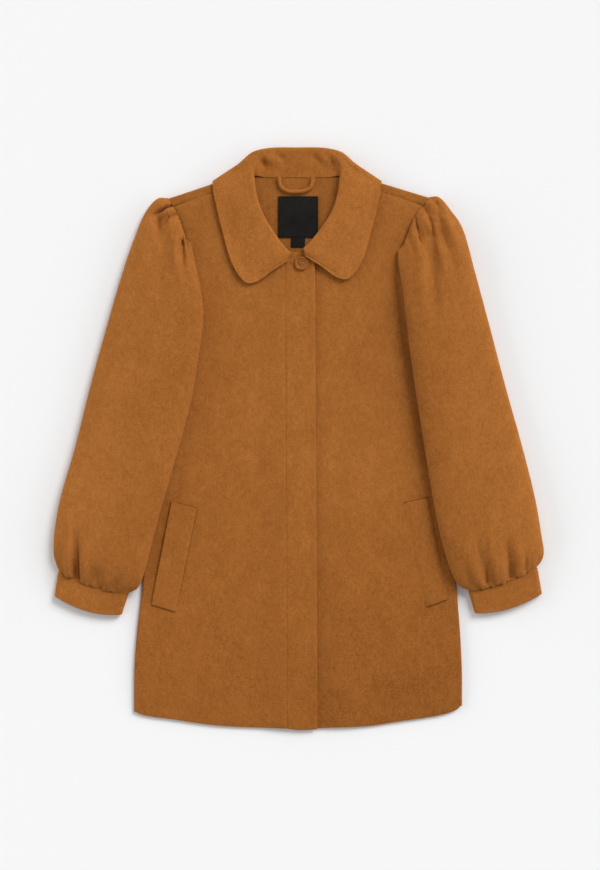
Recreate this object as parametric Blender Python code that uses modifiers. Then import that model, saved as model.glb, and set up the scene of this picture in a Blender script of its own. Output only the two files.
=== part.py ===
"""Puff sleeve coat laid flat on its back, front up.

Tables are in millimetres and MM turns them into metres when a mesh is made.
The origin is on the floor under the middle of the coat, +X is to the wearer's left,
+Y runs to the collar and +Z is up. Right and left are the wearer's, and tables for
one side measure x outward from the middle.
"""
import math

import bmesh
import bpy
import numpy as np

MM = 0.001
RIGHT = -1
LEFT = 1

# Walls of cloth, and the gap kept at every seam
CLOTH = 2.0
COLLAR_CLOTH = 2.8
PLACKET_CLOTH = 3.0
CUFF_CLOTH = 3.0
WELT_CLOTH = 1.6
LABEL_CLOTH = 1.0
SEAM = 0.3
SIDE_SEAM = 0.7

# Heights of the layers of the body
BODY_LOFT = 4.6
HEM_LOFT = 2.7
HEM_SOFT = (-440.0, -330.0)
NECK_LIFT = 3.4
NECK_LIFT_Y = (296.0, 366.0)
NECK_LIFT_X = (132.0, 188.0)
PLACKET_RAMP = 42.0

# Outline of the body, from hem corner to underarm and on to the shoulder tip
SIDE = {
    RIGHT: [(247.0, -409.0), (246.0, -317.0), (241.0, -272.0), (235.0, -227.0), (212.0, 163.0)],
    LEFT: [(244.8, -400.0), (243.4, -317.0), (239.0, -272.0), (236.0, -227.0), (212.0, 163.0)],
}
ARMHOLE = {
    RIGHT: [(212.0, 163.0), (190.0, 187.0), (172.0, 228.0), (166.5, 265.0), (170.0, 297.5),
            (177.0, 322.0), (184.0, 340.0), (196.0, 359.5)],
    LEFT: [(212.0, 163.0), (186.0, 184.0), (163.0, 222.0), (154.0, 256.0), (156.0, 285.0),
           (163.7, 306.0), (173.6, 330.5), (195.8, 361.0)],
}
HEM = {
    RIGHT: [(247.0, -409.0), (232.0, -414.5), (189.0, -420.5), (117.0, -430.0), (17.2, -434.0)],
    LEFT: [(244.8, -400.0), (236.0, -407.0), (209.5, -414.5), (143.0, -424.6), (95.6, -430.8),
           (-10.0, -434.0)],
}
SHOULDER_FOLD = {
    RIGHT: [(196.0, 359.5), (88.0, 394.6)],
    LEFT: [(195.8, 361.0), (83.0, 394.4)],
}
SHOULDER_STRIP = 13.0
ARMHOLE_STEPS = 9
UNDERARM_SHARE = 0.72
NECK_SHARE = 0.86
FOLD_SHARE = 0.955
FRONT_NECK = {
    RIGHT: [(88.0, 381.0), (84.5, 352.0), (72.5, 320.0), (55.0, 295.0), (38.0, 278.0), (20.4, 272.0)],
    LEFT: [(83.0, 384.0), (79.5, 352.0), (67.5, 320.0), (50.0, 295.0), (32.0, 278.0), (-10.0, 270.0)],
}
FRONT_EDGE = {RIGHT: (20.4, 17.2), LEFT: (-10.0, -10.0)}
BACK_NECK = [(-83.0, 390.8), (-64.0, 391.8), (-2.5, 391.8), (59.0, 391.8), (78.0, 390.8)]

# Fly band: left and right edges at its top and at the hem
PLACKET_TOP = (-20.0, 24.2, 279.0)
PLACKET_HEM = (-16.8, 28.0, -436.0)

# Collar, half of it from the middle of the back to the front end.
# neck: seam to the body; roll: top of the fold over, and its radius; edge: outer edge before it
# is folded under; fold: a point of the line it folds under, the way that line faces in degrees
# and its radius.
COLLAR_MID = -2.5
COLLAR = (
    # neck_x neck_y neck_z roll_x roll_y roll_z roll_r edge_x edge_y fold_x fold_y face radius
    (0.0, 394.4, 4.9, 0.0, 431.6, 8.0, 3.3, 0.0, 497.0, 0.0, 431.6, 90.0, 3.3),
    (32.0, 394.4, 4.9, 32.0, 431.6, 8.0, 3.3, 34.0, 497.0, 32.0, 431.6, 90.0, 3.3),
    (49.0, 394.9, 5.4, 57.0, 424.0, 10.4, 3.4, 90.0, 481.0, 53.5, 428.4, 69.0, 4.3),
    (67.5, 396.4, 7.6, 66.5, 406.0, 15.4, 3.6, 123.0, 439.0, 53.6, 429.0, 53.9, 5.2),
    (78.5, 384.0, 9.8, 68.5, 386.0, 18.6, 4.0, 126.0, 381.0, 54.4, 430.0, 53.9, 5.6),
    (76.0, 357.0, 9.0, 64.0, 358.0, 18.6, 4.0, 121.0, 350.0, 54.4, 430.0, 53.9, 5.6),
    (64.0, 327.0, 8.4, 53.5, 331.0, 17.8, 4.0, 111.5, 311.0, 54.4, 430.0, 53.9, 5.6),
    (47.5, 304.0, 9.2, 39.0, 309.0, 17.4, 3.6, 98.0, 266.0, 54.4, 430.0, 53.9, 5.6),
    (35.0, 290.5, 10.8, 28.0, 295.0, 17.6, 3.0, 79.0, 238.0, 54.4, 430.0, 53.9, 5.6),
    (26.5, 283.5, 12.2, 20.5, 286.5, 17.8, 2.6, 60.0, 238.0, 54.4, 430.0, 53.9, 5.6),
    (19.5, 278.5, 12.6, 15.0, 281.5, 17.4, 2.3, 37.0, 254.0, 54.4, 430.0, 53.9, 5.6),
    (13.5, 275.5, 12.6, 10.5, 278.5, 17.2, 2.2, 12.5, 269.5, 54.4, 430.0, 53.9, 5.6),
)
COLLAR_TILT = 3.0
COLLAR_REST = 0.7
COLLAR_FRONT_FROM = (3.3, 4.4)

# Sleeves, sections from the armhole seam to the wrist.
# edge: radius of the soft outer and inner edges; crown: height of the top above those edges
SLEEVE = {
    RIGHT: (
        # outer_x outer_y inner_x inner_y edge crown
        (197.0, 361.0, 169.0, 292.0, 3.0, 2.6),
        (213.0, 359.0, 161.5, 268.0, 3.6, 10.0),
        (229.5, 337.0, 152.0, 240.0, 4.8, 14.0),
        (245.0, 299.0, 145.0, 209.0, 6.0, 16.0),
        (262.0, 250.0, 143.5, 176.0, 6.6, 17.0),
        (286.0, 168.0, 149.5, 129.0, 7.0, 17.0),
        (309.5, 83.0, 162.5, 53.0, 7.0, 17.0),
        (333.5, -13.0, 190.0, -47.0, 7.6, 18.0),
        (354.5, -86.0, 210.5, -118.0, 8.4, 20.0),
        (364.0, -138.0, 222.0, -163.0, 8.6, 20.0),
        (365.5, -170.0, 231.5, -200.0, 7.8, 17.0),
        (362.0, -187.0, 240.0, -221.0, 6.2, 11.0),
        (358.0, -197.0, 255.0, -230.0, 4.2, 4.4),
    ),
    LEFT: (
        # outer_x outer_y inner_x inner_y edge crown
        (197.0, 362.5, 155.0, 280.0, 3.0, 2.6),
        (211.0, 361.5, 154.5, 258.0, 3.6, 10.0),
        (226.5, 342.0, 157.0, 226.0, 4.8, 14.0),
        (245.5, 311.0, 159.0, 200.0, 6.0, 16.0),
        (263.0, 248.0, 162.0, 172.0, 6.6, 17.0),
        (284.5, 168.0, 167.0, 131.0, 7.0, 17.0),
        (309.0, 75.0, 179.5, 44.0, 7.0, 17.0),
        (333.5, -13.0, 194.5, -48.0, 7.6, 18.0),
        (352.5, -90.0, 207.5, -122.0, 8.4, 20.0),
        (362.0, -145.0, 218.5, -167.0, 8.6, 20.0),
        (365.5, -170.0, 229.5, -200.0, 7.8, 17.0),
        (361.5, -184.0, 239.5, -218.0, 6.2, 11.0),
        (355.0, -191.0, 254.0, -225.0, 4.2, 4.4),
    ),
}
SLEEVE_REST = 9.0
UNDERARM_OUT = 7.0
UNDERARM_GAP = 1.5
SIDE_RAMP = 24.0
WRIST_SAG = 5.0
CAP_HOOK = 6.0
# Largest gathers on the top of a sleeve: place across (0 outer edge, 1 inner edge), width,
# height (a trough is negative) and the sections it runs between and is full at
GATHERS = {
    RIGHT: (
        # across width height from full to
        (0.20, 0.035, -3.0, 0.1, 0.9, 2.6),
        (0.29, 0.045, 2.4, 0.1, 1.0, 3.2),
        (0.42, 0.045, -3.4, 0.1, 1.6, 4.2),
        (0.58, 0.050, 2.0, 0.1, 1.2, 3.6),
        (0.74, 0.040, -2.2, 0.1, 0.9, 2.8),
        (0.14, 0.035, 2.4, 9.0, 11.2, 12.4),
        (0.22, 0.030, -3.6, 8.2, 11.2, 12.4),
        (0.32, 0.040, 2.4, 8.6, 11.0, 12.4),
        (0.45, 0.045, -2.8, 9.2, 11.2, 12.4),
        (0.58, 0.045, 2.2, 9.2, 11.2, 12.4),
        (0.72, 0.045, -2.4, 9.4, 11.2, 12.4),
    ),
    LEFT: (
        # across width height from full to
        (0.14, 0.040, 2.6, 0.1, 1.2, 4.4),
        (0.25, 0.045, -3.2, 0.1, 1.4, 4.8),
        (0.37, 0.040, 2.8, 0.1, 1.2, 5.0),
        (0.52, 0.045, -3.2, 0.1, 1.0, 3.4),
        (0.72, 0.045, -2.2, 0.1, 0.9, 2.6),
        (0.18, 0.040, 2.2, 9.2, 11.2, 12.4),
        (0.35, 0.045, -3.2, 8.4, 11.2, 12.4),
        (0.47, 0.045, 2.4, 9.0, 11.0, 12.4),
        (0.62, 0.045, -3.2, 8.0, 11.2, 12.4),
        (0.75, 0.040, 2.2, 9.2, 11.2, 12.4),
        (0.86, 0.035, -2.2, 9.6, 11.2, 12.4),
    ),
}

# Cuffs: the seam end and the open end, with the sag of each line
CUFF = {
    RIGHT: ((358.6, -198.6, 256.0, -231.6, 5.0), (364.0, -236.0, 266.5, -263.0, 9.0)),
    LEFT: ((355.8, -192.6, 255.0, -226.6, 5.0), (362.6, -232.5, 265.0, -261.0, 8.0)),
}
CUFF_EDGE = 4.2
CUFF_CROWN = 4.2

# Pocket welts: corners from the inner top one round the strip
WELT = {
    RIGHT: ((151.0, -102.4), (190.3, -92.0), (220.7, -249.0), (183.4, -260.3)),
    LEFT: ((155.8, -94.7), (194.6, -86.0), (223.4, -241.3), (190.0, -253.4)),
}

# Trim at the neck
LOOP_PATH = [(-29.5, 388.6), (-27.0, 378.0), (-17.0, 370.8), (-4.3, 369.6), (8.5, 371.0),
             (18.5, 377.0), (21.5, 388.6)]
LOOP_RADIUS = 2.9
LABEL = (-30.7, 29.0, 301.3, 363.0)
SIZE_TAB = (-11.6, 9.4, 286.6, 301.0)
BUTTON_CENTRE = (4.1, 262.0)
BUTTON_RADIUS = 10.5
# Turned profile of the button, from the middle of its face round to the back
BUTTON_PROFILE = (
    # radius height
    (0.0, 2.4), (6.6, 2.4), (7.6, 3.2), (8.6, 3.7), (9.6, 3.4), (10.5, 2.2), (10.0, 0.6),
    (8.4, 0.0), (0.0, 0.0),
)
BUTTON_HOLE_RADIUS = 1.0
BUTTON_HOLE_OUT = 2.6

TAN = (0.352, 0.123, 0.025, 1.0)
BLACK = (0.023, 0.022, 0.020, 1.0)
HORN = (0.245, 0.087, 0.023, 1.0)


def ease(value, low, high):
    """0 below low, 1 above high and an S curve between."""
    share = np.clip((np.asarray(value, float) - low) / (high - low), 0.0, 1.0)
    return share * share * (3.0 - 2.0 * share)


def through(table, place):
    """Rows of a table at places counted in rows, along a smooth curve through them."""
    rows = np.asarray(table, float)
    rows = np.vstack([2 * rows[0] - rows[1], rows, 2 * rows[-1] - rows[-2]])
    place = np.clip(np.asarray(place, float), 0.0, len(table) - 1.0)
    first = np.minimum(place.astype(int), len(table) - 2)
    t = (place - first)[..., None]
    a, b, c, d = (rows[first + k] for k in range(4))
    return 0.5 * (2 * b + (c - a) * t + (2 * a - 5 * b + 4 * c - d) * t ** 2
                  + (3 * b - a - 3 * c + d) * t ** 3)


def along(points, share):
    """Points at shares of the length of a smooth line through the given points."""
    dense = through(points, np.linspace(0, len(points) - 1, 24 * len(points)))
    run = np.concatenate([[0.0], np.cumsum(np.hypot(*np.diff(dense, axis=0).T))])
    share = np.asarray(share, float) * run[-1]
    return np.stack([np.interp(share, run, dense[:, k]) for k in (0, 1)], axis=-1)


def chain(share, *pieces):
    """A line made of pieces, each (share it ends at, points); a share picks a point."""
    share = np.asarray(share, float)
    out = np.zeros(share.shape + (2,))
    start = 0.0
    for end, points in pieces:
        part = np.clip((share - start) / (end - start), 0.0, 1.0)
        here = share >= start
        out[here] = along(points, part)[here]
        start = end
    return out


def patch(u, v, bottom, top, first, last):
    """A flat sheet stretched between four edge lines that meet at its corners."""
    zero, one = np.zeros_like(u), np.ones_like(u)
    a, b = u[..., None], v[..., None]
    corners = ((1 - a) * (1 - b) * bottom(zero) + a * (1 - b) * bottom(one)
               + (1 - a) * b * top(zero) + a * b * top(one))
    return (1 - b) * bottom(u) + b * top(u) + (1 - a) * first(v) + a * last(v) - corners


def lift(x, y):
    """How far the body is raised where it lies on the folded collar."""
    return NECK_LIFT * ease(y, *NECK_LIFT_Y) * (1 - ease(np.abs(x - COLLAR_MID), *NECK_LIFT_X))


def loft(y):
    """Height of the middle of the front wall over the middle of the back wall."""
    return HEM_LOFT + (BODY_LOFT - HEM_LOFT) * ease(y, *HEM_SOFT)


def back_mid(x, y):
    """Middle of the back's wall."""
    return CLOTH / 2 + lift(x, y)


def front_mid(x, y):
    """Middle of the left front's wall, and of the right one away from the fly."""
    return back_mid(x, y) + loft(y)


def right_front_mid(x, y):
    """Middle of the right front's wall, which climbs to the fly band."""
    return front_mid(x, y) + PLACKET_CLOTH * ease(x, -20.0 - PLACKET_RAMP, -20.0)


def collar_ground(x, y):
    """Top of what the collar lies on."""
    rise = ease(x, -20.0 - PLACKET_RAMP, -20.0) * (1 - ease(x, 27.0, 52.0))
    return front_mid(x, y) + CLOTH / 2 + (PLACKET_CLOTH + SEAM) * rise


def side_line(side, y):
    """Outward x of the edge of the body at a height y."""
    line = np.vstack([along(SIDE[side], np.linspace(0, 1, 60)), along(ARMHOLE[side], np.linspace(0, 1, 60))])
    return np.interp(y, line[:, 1], line[:, 0])


def unit(vector):
    """Vectors scaled to length one."""
    return vector / np.linalg.norm(vector, axis=-1, keepdims=True)


def material(name, colour, roughness):
    """A plain material."""
    made = bpy.data.materials.new(name)
    made.use_nodes = True
    shader = made.node_tree.nodes["Principled BSDF"]
    shader.inputs["Base Color"].default_value = colour
    shader.inputs["Roughness"].default_value = roughness
    made.diffuse_color = colour
    return made


def add_object(name, mesh, look):
    """An object of the coat with one material."""
    thing = bpy.data.objects.new(name, mesh)
    thing.data.materials.append(look)
    coat.objects.link(thing)
    return thing


def sheet(name, columns, rows, place, wall, look, closed=False):
    """A cloth wall: a grid moved onto the surface place(u, v) and thickened to both sides."""
    grid = bmesh.new()
    bmesh.ops.create_grid(grid, x_segments=len(columns) - 1, y_segments=len(rows) - 1, size=1.0)
    at = np.array([vert.co[:2] for vert in grid.verts])
    column = np.rint((at[:, 0] + 1) / 2 * (len(columns) - 1)).astype(int)
    row = np.rint((at[:, 1] + 1) / 2 * (len(rows) - 1)).astype(int)
    spots = place(np.asarray(columns, float)[column], np.asarray(rows, float)[row]) * MM
    for vert, spot in zip(grid.verts, spots):
        vert.co = spot
    if closed:
        bmesh.ops.remove_doubles(grid, verts=grid.verts, dist=0.00001)
    mesh = bpy.data.meshes.new(name)
    grid.to_mesh(mesh)
    grid.free()
    thing = add_object(name, mesh, look)
    shell = thing.modifiers.new("wall", "SOLIDIFY")
    shell.thickness = wall * MM
    shell.offset = 0.0
    shell.use_quality_normals = True
    return thing


def rolled_columns(count):
    """Columns of a front: the rolled side edge below 0, the flat panel from 0 to 1."""
    return np.concatenate([np.linspace(-1.0, 0.0, 4), np.linspace(0.0, 1.0, count + 1)[1:]])


def armhole_line(side):
    """Straight facets of the armhole, from the underarm to the shoulder seam and the tip."""
    fold, face = shoulder(side)
    share = np.linspace(0.0, 1.0, 400)
    depth = (fold[0] - along(ARMHOLE[side], share)) @ face
    seam = np.interp(-SHOULDER_STRIP - SEAM, -depth, share)
    return along(ARMHOLE[side], np.append(np.linspace(0.0, seam, ARMHOLE_STEPS + 1), 1.0))


def shoulder(side):
    """The fold of a shoulder and the way it faces."""
    fold = np.asarray(SHOULDER_FOLD[side], float)
    run = unit(fold[1] - fold[0])
    return fold, np.array([abs(run[1]), abs(run[0])])


def on_armhole(side, step):
    """A point of the armhole, counted in facets."""
    line = armhole_line(side)
    count = np.arange(len(line))
    return np.stack([np.interp(step, count, line[:, k]) for k in (0, 1)], axis=-1)


def side_roll(point, side, below, share, mid, way):
    """Bend the strip past the flat panel round the side edge, down (way -1) or up (way 1)."""
    radius = loft(point[:, 1]) / 2
    length = radius * math.pi / 2 - SIDE_SEAM
    bend = np.maximum(below, 0.001) / radius
    x = point[:, 0] + side * np.sin(bend * length * share) / bend
    z = mid + way * (1 - np.cos(bend * length * share)) / bend
    return np.stack([x, point[:, 1], z], axis=-1)


def side_inset(y, below):
    """How far the flat panel stops short of the side line, to leave room for its rolled edge."""
    radius = loft(y) / 2
    return (radius + CLOTH / 2) * below + (radius * math.pi / 2 - SIDE_SEAM) * (1 - below)


def front_place(side):
    """Surface of one front panel."""
    mid = right_front_mid if side == RIGHT else front_mid
    top_x, hem_x = FRONT_EDGE[side]
    fold, face = shoulder(side)
    seam = fold - face * (SHOULDER_STRIP + SEAM)
    seam[0] = on_armhole(side, ARMHOLE_STEPS)
    neck = FRONT_NECK[side][::-1][:-1] + [tuple(seam[1])]
    edge_line = [(hem_x, HEM[side][-1][1]), (top_x, neck[0][1])]

    def first(t):
        step = (t - UNDERARM_SHARE) / (1 - UNDERARM_SHARE) * ARMHOLE_STEPS
        low = along(SIDE[side], t / UNDERARM_SHARE)
        return np.where((t < UNDERARM_SHARE)[:, None], low, on_armhole(side, step))

    def place(u, v):
        flat = np.maximum(u, 0.0)
        point = patch(
            flat, v,
            lambda t: along(HEM[side], t),
            lambda t: along(seam, t),
            first,
            lambda t: chain(t, (NECK_SHARE, edge_line), (1.0, neck)))
        below = 1 - ease(v, UNDERARM_SHARE - 0.16, UNDERARM_SHARE)
        point[:, 0] -= side_inset(point[:, 1], below) * (1 - flat) ** 3
        point[:, 0] *= side
        height = mid(point[:, 0], point[:, 1])
        return side_roll(point, side, below, np.maximum(-u, 0.0), height, -1)

    return place


def back_place(u, v):
    """Surface of the back, with its sides rolled up and its shoulders wrapped over."""
    flat = np.clip(u, 0.0, 1.0)
    bend = BODY_LOFT / 2
    reach = math.pi * bend + SHOULDER_STRIP - bend - CLOTH / 2
    edges, ends = {}, {}
    for side in (RIGHT, LEFT):
        fold, face = shoulder(side)
        axis = fold - face * (bend + CLOTH / 2)
        tip = on_armhole(side, ARMHOLE_STEPS + 0.78)
        tip = tip - face * ((tip - axis[0]) @ face)
        strip = on_armhole(side, ARMHOLE_STEPS)
        strip = strip + face * (reach - (strip - axis[0]) @ face)
        ends[side] = (strip, axis[1] + face * reach)
        edges[side] = (axis, face, tip)
    mirror = np.array([-1.0, 1.0])
    hem = [(-x, y) for x, y in HEM[RIGHT][:-1]] + [(0.0, -434.0)] + HEM[LEFT][-2::-1]
    neck = [tuple(ends[RIGHT][1] * mirror)] + BACK_NECK + [tuple(ends[LEFT][1])]

    def edge(side):
        def line(t):
            step = (t - UNDERARM_SHARE) / (0.93 - UNDERARM_SHARE) * ARMHOLE_STEPS
            out = np.where((t < UNDERARM_SHARE)[:, None], along(SIDE[side], t / UNDERARM_SHARE),
                           on_armhole(side, np.minimum(step, ARMHOLE_STEPS)))
            knots = (0.93, FOLD_SHARE, 1.0)
            corner = np.stack([on_armhole(side, ARMHOLE_STEPS), edges[side][2], ends[side][0]])
            over = np.stack([np.interp(t, knots, corner[:, k]) for k in (0, 1)], axis=-1)
            return np.where((t > 0.93)[:, None], over, out) * np.array([side, 1.0])
        return line

    point = patch(
        flat, v,
        lambda t: along(hem, t),
        lambda t: chain(t, (0.30, [tuple(ends[RIGHT][0] * mirror), tuple(ends[RIGHT][1] * mirror)]),
                        (0.70, neck), (1.0, [tuple(ends[LEFT][1]), tuple(ends[LEFT][0])])),
        edge(RIGHT), edge(LEFT))
    side = np.where(u < 0.5, RIGHT, LEFT)
    below = 1 - ease(v, UNDERARM_SHARE - 0.16, UNDERARM_SHARE)
    point[:, 0] -= side * side_inset(point[:, 1], below) * np.abs(2 * flat - 1) ** 7
    share = np.maximum(-u, 0.0) + np.maximum(u - 1.0, 0.0)
    out = side_roll(point, side, below, share, back_mid(point[:, 0], point[:, 1]), 1)
    for which in (RIGHT, LEFT):
        axis, face, _ = edges[which]
        local = out[:, :2] * np.array([which, 1.0])
        past = np.where((side == which) & (v > 0.9), (local - axis[0]) @ face, -1.0)
        over = past > 0
        angle = np.clip(past / bend, 0.0, math.pi)
        back = np.maximum(past - math.pi * bend, 0.0)
        local = local + face * (bend * np.sin(angle) - back - past)[:, None]
        out[over, :2] = (local * np.array([which, 1.0]))[over]
        out[over, 2] = (back_mid(out[:, 0], out[:, 1]) + bend * (1 - np.cos(angle)))[over]
    return out


def placket_place(u, v):
    """Surface of the fly band, lying on the left front."""
    left = PLACKET_HEM[0] + (PLACKET_TOP[0] - PLACKET_HEM[0]) * v
    right = PLACKET_HEM[1] + (PLACKET_TOP[1] - PLACKET_HEM[1]) * v
    x = left + (right - left) * u
    low = PLACKET_HEM[2] + 2.0 * np.abs(2 * u - 1) ** 2
    y = low + (PLACKET_TOP[2] - low) * v
    z = front_mid(x, y) + CLOTH / 2 + SEAM + PLACKET_CLOTH / 2
    return np.stack([x, y, z], axis=-1)


def collar_place(u, v):
    """Surface of the collar: u along it from right end to left end, v from neck to outer edge."""
    side = np.where(u < 0, -1.0, 1.0)
    count = np.abs(u) * (len(COLLAR) - 1)
    (neck_x, neck_y, neck_z, roll_x, roll_y, roll_z, roll_r, edge_x, edge_y,
     fold_x, fold_y, face, bend) = through(COLLAR, count).T
    tilt = side * COLLAR_TILT * ease(count, 4.0, 9.0)
    neck = np.stack([neck_x, neck_y + tilt], axis=-1)
    roll = np.stack([roll_x, roll_y + tilt], axis=-1)
    edge = np.stack([edge_x, edge_y + tilt], axis=-1)
    way = unit(edge - roll)
    turn = np.stack([-way[:, 1], way[:, 0]], axis=-1)

    # The stand: straight from the neck to the roll it touches, then round the roll to its top
    from_x = np.sum((neck - roll) * way, axis=1)
    from_z = neck_z - (roll_z - roll_r)
    apart = np.maximum(np.hypot(from_x, from_z), roll_r * 1.02)
    touch = np.arctan2(from_z, from_x) - np.arccos(roll_r / apart)
    touch = np.mod(touch - math.pi / 2, 2 * math.pi) + math.pi / 2
    straight = np.sqrt(apart ** 2 - roll_r ** 2)
    total = straight + roll_r * (touch - math.pi / 2)
    gone = np.clip(v, 0.0, 1.0) * total
    share = np.minimum(gone / straight, 1.0)
    angle = touch - np.maximum(gone - straight, 0.0) / roll_r
    x = np.where(share < 1, from_x + (roll_r * np.cos(touch) - from_x) * share, roll_r * np.cos(angle))
    z = np.where(share < 1, from_z + (roll_r * np.sin(touch) - from_z) * share, roll_r * np.sin(angle))
    aside = np.sum((neck - roll) * turn, axis=1) * (1 - np.clip(v, 0.0, 1.0))
    stand = np.column_stack([roll + way * x[:, None] + turn * aside[:, None], z + roll_z - roll_r])

    # The leaf: drawn flat from the roll to its edge, then folded under past the fold line
    s = np.clip(v - 1.0, 0.0, 1.0)
    spot = roll + (edge - roll) * s[:, None]
    front = ease(count, *COLLAR_FRONT_FROM)
    low = COLLAR_CLOTH / 2
    ground = collar_ground(spot[:, 0] * side + COLLAR_MID, spot[:, 1])
    rest = (low + 2 * bend) * (1 - front) + front * (ground + SEAM + low + COLLAR_REST)
    facing = np.stack([np.cos(np.radians(face)), np.sin(np.radians(face))], axis=-1)
    axis = np.stack([fold_x, fold_y], axis=-1)
    past = np.sum((spot - axis) * facing, axis=1)
    full = np.sum((edge - axis) * facing, axis=1)
    start = np.sum((roll - axis) * facing, axis=1)
    span = np.where(full > 0.5, np.maximum(-start, 0.5) / np.maximum(full - start, 1.0), 1.0)
    top = rest + (roll_z - rest) * (1 - ease(s / span, 0.0, 1.0))
    angle = np.clip(past / bend, 0.0, math.pi)
    back = np.maximum(past - math.pi * bend, 0.0)
    spot = spot + facing * np.where(past > 0, bend * np.sin(angle) - back - past, 0.0)[:, None]
    under = rest - (rest - low) * (1 - np.cos(angle)) / 2
    leaf = np.column_stack([spot, np.where(past > 0, under, top)])
    out = np.where(v[:, None] <= 1.0, stand, leaf)
    out[:, 0] = out[:, 0] * side + COLLAR_MID
    return out


def sleeve_place(side):
    """Surface of a sleeve: u round it from the back seam to the front seam, v from cap to wrist."""
    table = SLEEVE[side]
    first = np.asarray(table[0], float)
    line = armhole_line(side)
    tip = len(line) - 1.0
    low = float(np.interp(first[3], line[:, 1], np.arange(len(line))))

    def plan(across, row):
        """Point of a section in plan, the first one on the armhole seam."""
        section = through(table, row)
        point = section[:, 0:2] + (section[:, 2:4] - section[:, 0:2]) * across[:, None]
        seam = on_armhole(side, tip + (low - tip) * across)
        seam[:, 0] += 3 * SEAM
        chord = first[0:2] + (first[2:4] - first[0:2]) * across[:, None]
        point = point + (seam - chord) * (1 - ease(row, 0.0, 2.5))[:, None]
        point[:, 0] -= CAP_HOOK * ease(across, 0.9, 1.0) * (1 - ease(row, 0.0, 3.0))
        point[:, 1] -= WRIST_SAG * 4 * across * (1 - across) * ease(row, 10.0, 12.0)
        return point, section

    def cut_share(row):
        """Where across a section its underside is cut along the edge of the body."""
        tries = np.linspace(0.02, 0.90, 177)
        share = np.empty_like(row)
        for k in np.unique(row):
            point, _ = plan(tries, np.full_like(tries, k))
            corner = np.exp(-((point[:, 1] - SIDE[side][-1][1]) / 25.0) ** 2)
            out = UNDERARM_OUT * ease(-point[:, 1], -170.0, -120.0) + UNDERARM_GAP + 3.0 * corner
            inside = side_line(side, point[:, 1]) + out >= point[:, 0]
            hits = np.nonzero(inside & (tries > 0.88 - 0.2 * k))[0]
            share[row == k] = tries[hits[0]] if len(hits) else tries[-1]
        return share

    def place(u, v):
        section = through(table, v)
        edge, crown = section[:, 4], section[:, 5]
        width = np.linalg.norm(section[:, 2:4] - section[:, 0:2], axis=1)
        cut = cut_share(v)
        half_gap = 2 * SEAM / width
        under_out, top = u <= 1.0, (u > 1.0) & (u < 2.0)
        quarter = math.pi / 2
        across = np.where(
            under_out, (cut - half_gap) * (1 - np.sin(quarter * np.clip(u, 0, 1))),
            np.where(top, (1 - np.cos(math.pi * (u - 1.0))) / 2,
                     1 - (1 - cut - half_gap) * (1 - np.cos(quarter * np.clip(u - 2.0, 0, 1)))))
        point, _ = plan(across, v)
        floor = CLOTH / 2
        below = ease(-point[:, 1], -170.0, -120.0)
        ramp = 1 - ease(point[:, 0] - side_line(side, point[:, 1]), 0.5, SIDE_RAMP)
        outer_low = floor + SLEEVE_REST * ramp * below
        inner_low = floor + SLEEVE_REST * (ramp * below + 1 - below)
        outer_run = np.clip(1 - across * width / edge, 0.0, 1.0)
        inner_run = np.clip(1 - (1 - across) * width / edge, 0.0, 1.0)
        outer_z = outer_low + edge * (1 - np.sqrt(1 - outer_run ** 2))
        inner_z = inner_low + edge * (1 - np.sqrt(1 - inner_run ** 2))
        ends, _ = plan(np.ones_like(v), v)
        end_below = ease(-ends[:, 1], -170.0, -120.0)
        end_ramp = 1 - ease(ends[:, 0] - side_line(side, ends[:, 1]), 0.5, SIDE_RAMP)
        rise = SLEEVE_REST * (end_ramp * end_below + 1 - end_below)
        edge_line = floor + edge + rise * ease(across, 0.15, 1.0)
        arch = np.sin(math.pi * np.clip(u - 1.0, 0.0, 1.0)) ** 0.8
        fold = np.zeros_like(v)
        for spot, spread, height, start, full, end in GATHERS[side]:
            run = ease(v, start, full) * (1 - ease(v, full, end))
            fold += height * run * np.exp(-((across - spot) / spread) ** 2)
        top_z = edge_line + crown * arch + fold * np.minimum(1.0, 1.6 * arch)
        z = np.where(under_out, outer_z, np.where(top, top_z, inner_z))
        return np.stack([point[:, 0] * side, point[:, 1], z], axis=-1)

    return place


def cuff_place(side):
    """Surface of a cuff band: u round it, v from the wrist seam to its open end."""
    def place(u, v):
        section = through(CUFF[side], v)
        outer, inner, sag = section[:, 0:2], section[:, 2:4], section[:, 4]
        across = (1 - np.cos(2 * math.pi * u)) / 2
        point = outer + (inner - outer) * across[:, None]
        point[:, 1] -= sag * 4 * across * (1 - across)
        width = np.linalg.norm(inner - outer, axis=1)
        run = np.clip(1 - np.minimum(across, 1 - across) * width / CUFF_EDGE, 0.0, 1.0)
        low = CUFF_CLOTH / 2 + CUFF_EDGE * (1 - np.sqrt(1 - run ** 2))
        high = CUFF_CLOTH / 2 + CUFF_EDGE + CUFF_CROWN * np.sqrt(np.maximum(1 - run ** 2, 0.0))
        z = np.where(u <= 0.5, high, low)
        return np.stack([point[:, 0] * side, point[:, 1], z], axis=-1)
    return place


def welt_place(side):
    """Surface of a pocket welt, lying on its front."""
    corner = np.asarray(WELT[side], float)

    def place(u, v):
        a, b = u[:, None], v[:, None]
        point = ((1 - a) * (1 - b) * corner[3] + a * (1 - b) * corner[2]
                 + a * b * corner[1] + (1 - a) * b * corner[0])
        x = point[:, 0] * side
        z = front_mid(x, point[:, 1]) + CLOTH / 2 + SEAM + WELT_CLOTH / 2
        return np.stack([x, point[:, 1], z], axis=-1)
    return place


def label_place(left, right, low, high):
    """Surface of a label lying on the inside of the back."""
    def place(u, v):
        x = left + (right - left) * u
        y = low + (high - low) * v
        z = back_mid(x, y) + CLOTH / 2 + 2 * SEAM + LABEL_CLOTH / 2
        return np.stack([x, y, z], axis=-1)
    return place


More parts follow.
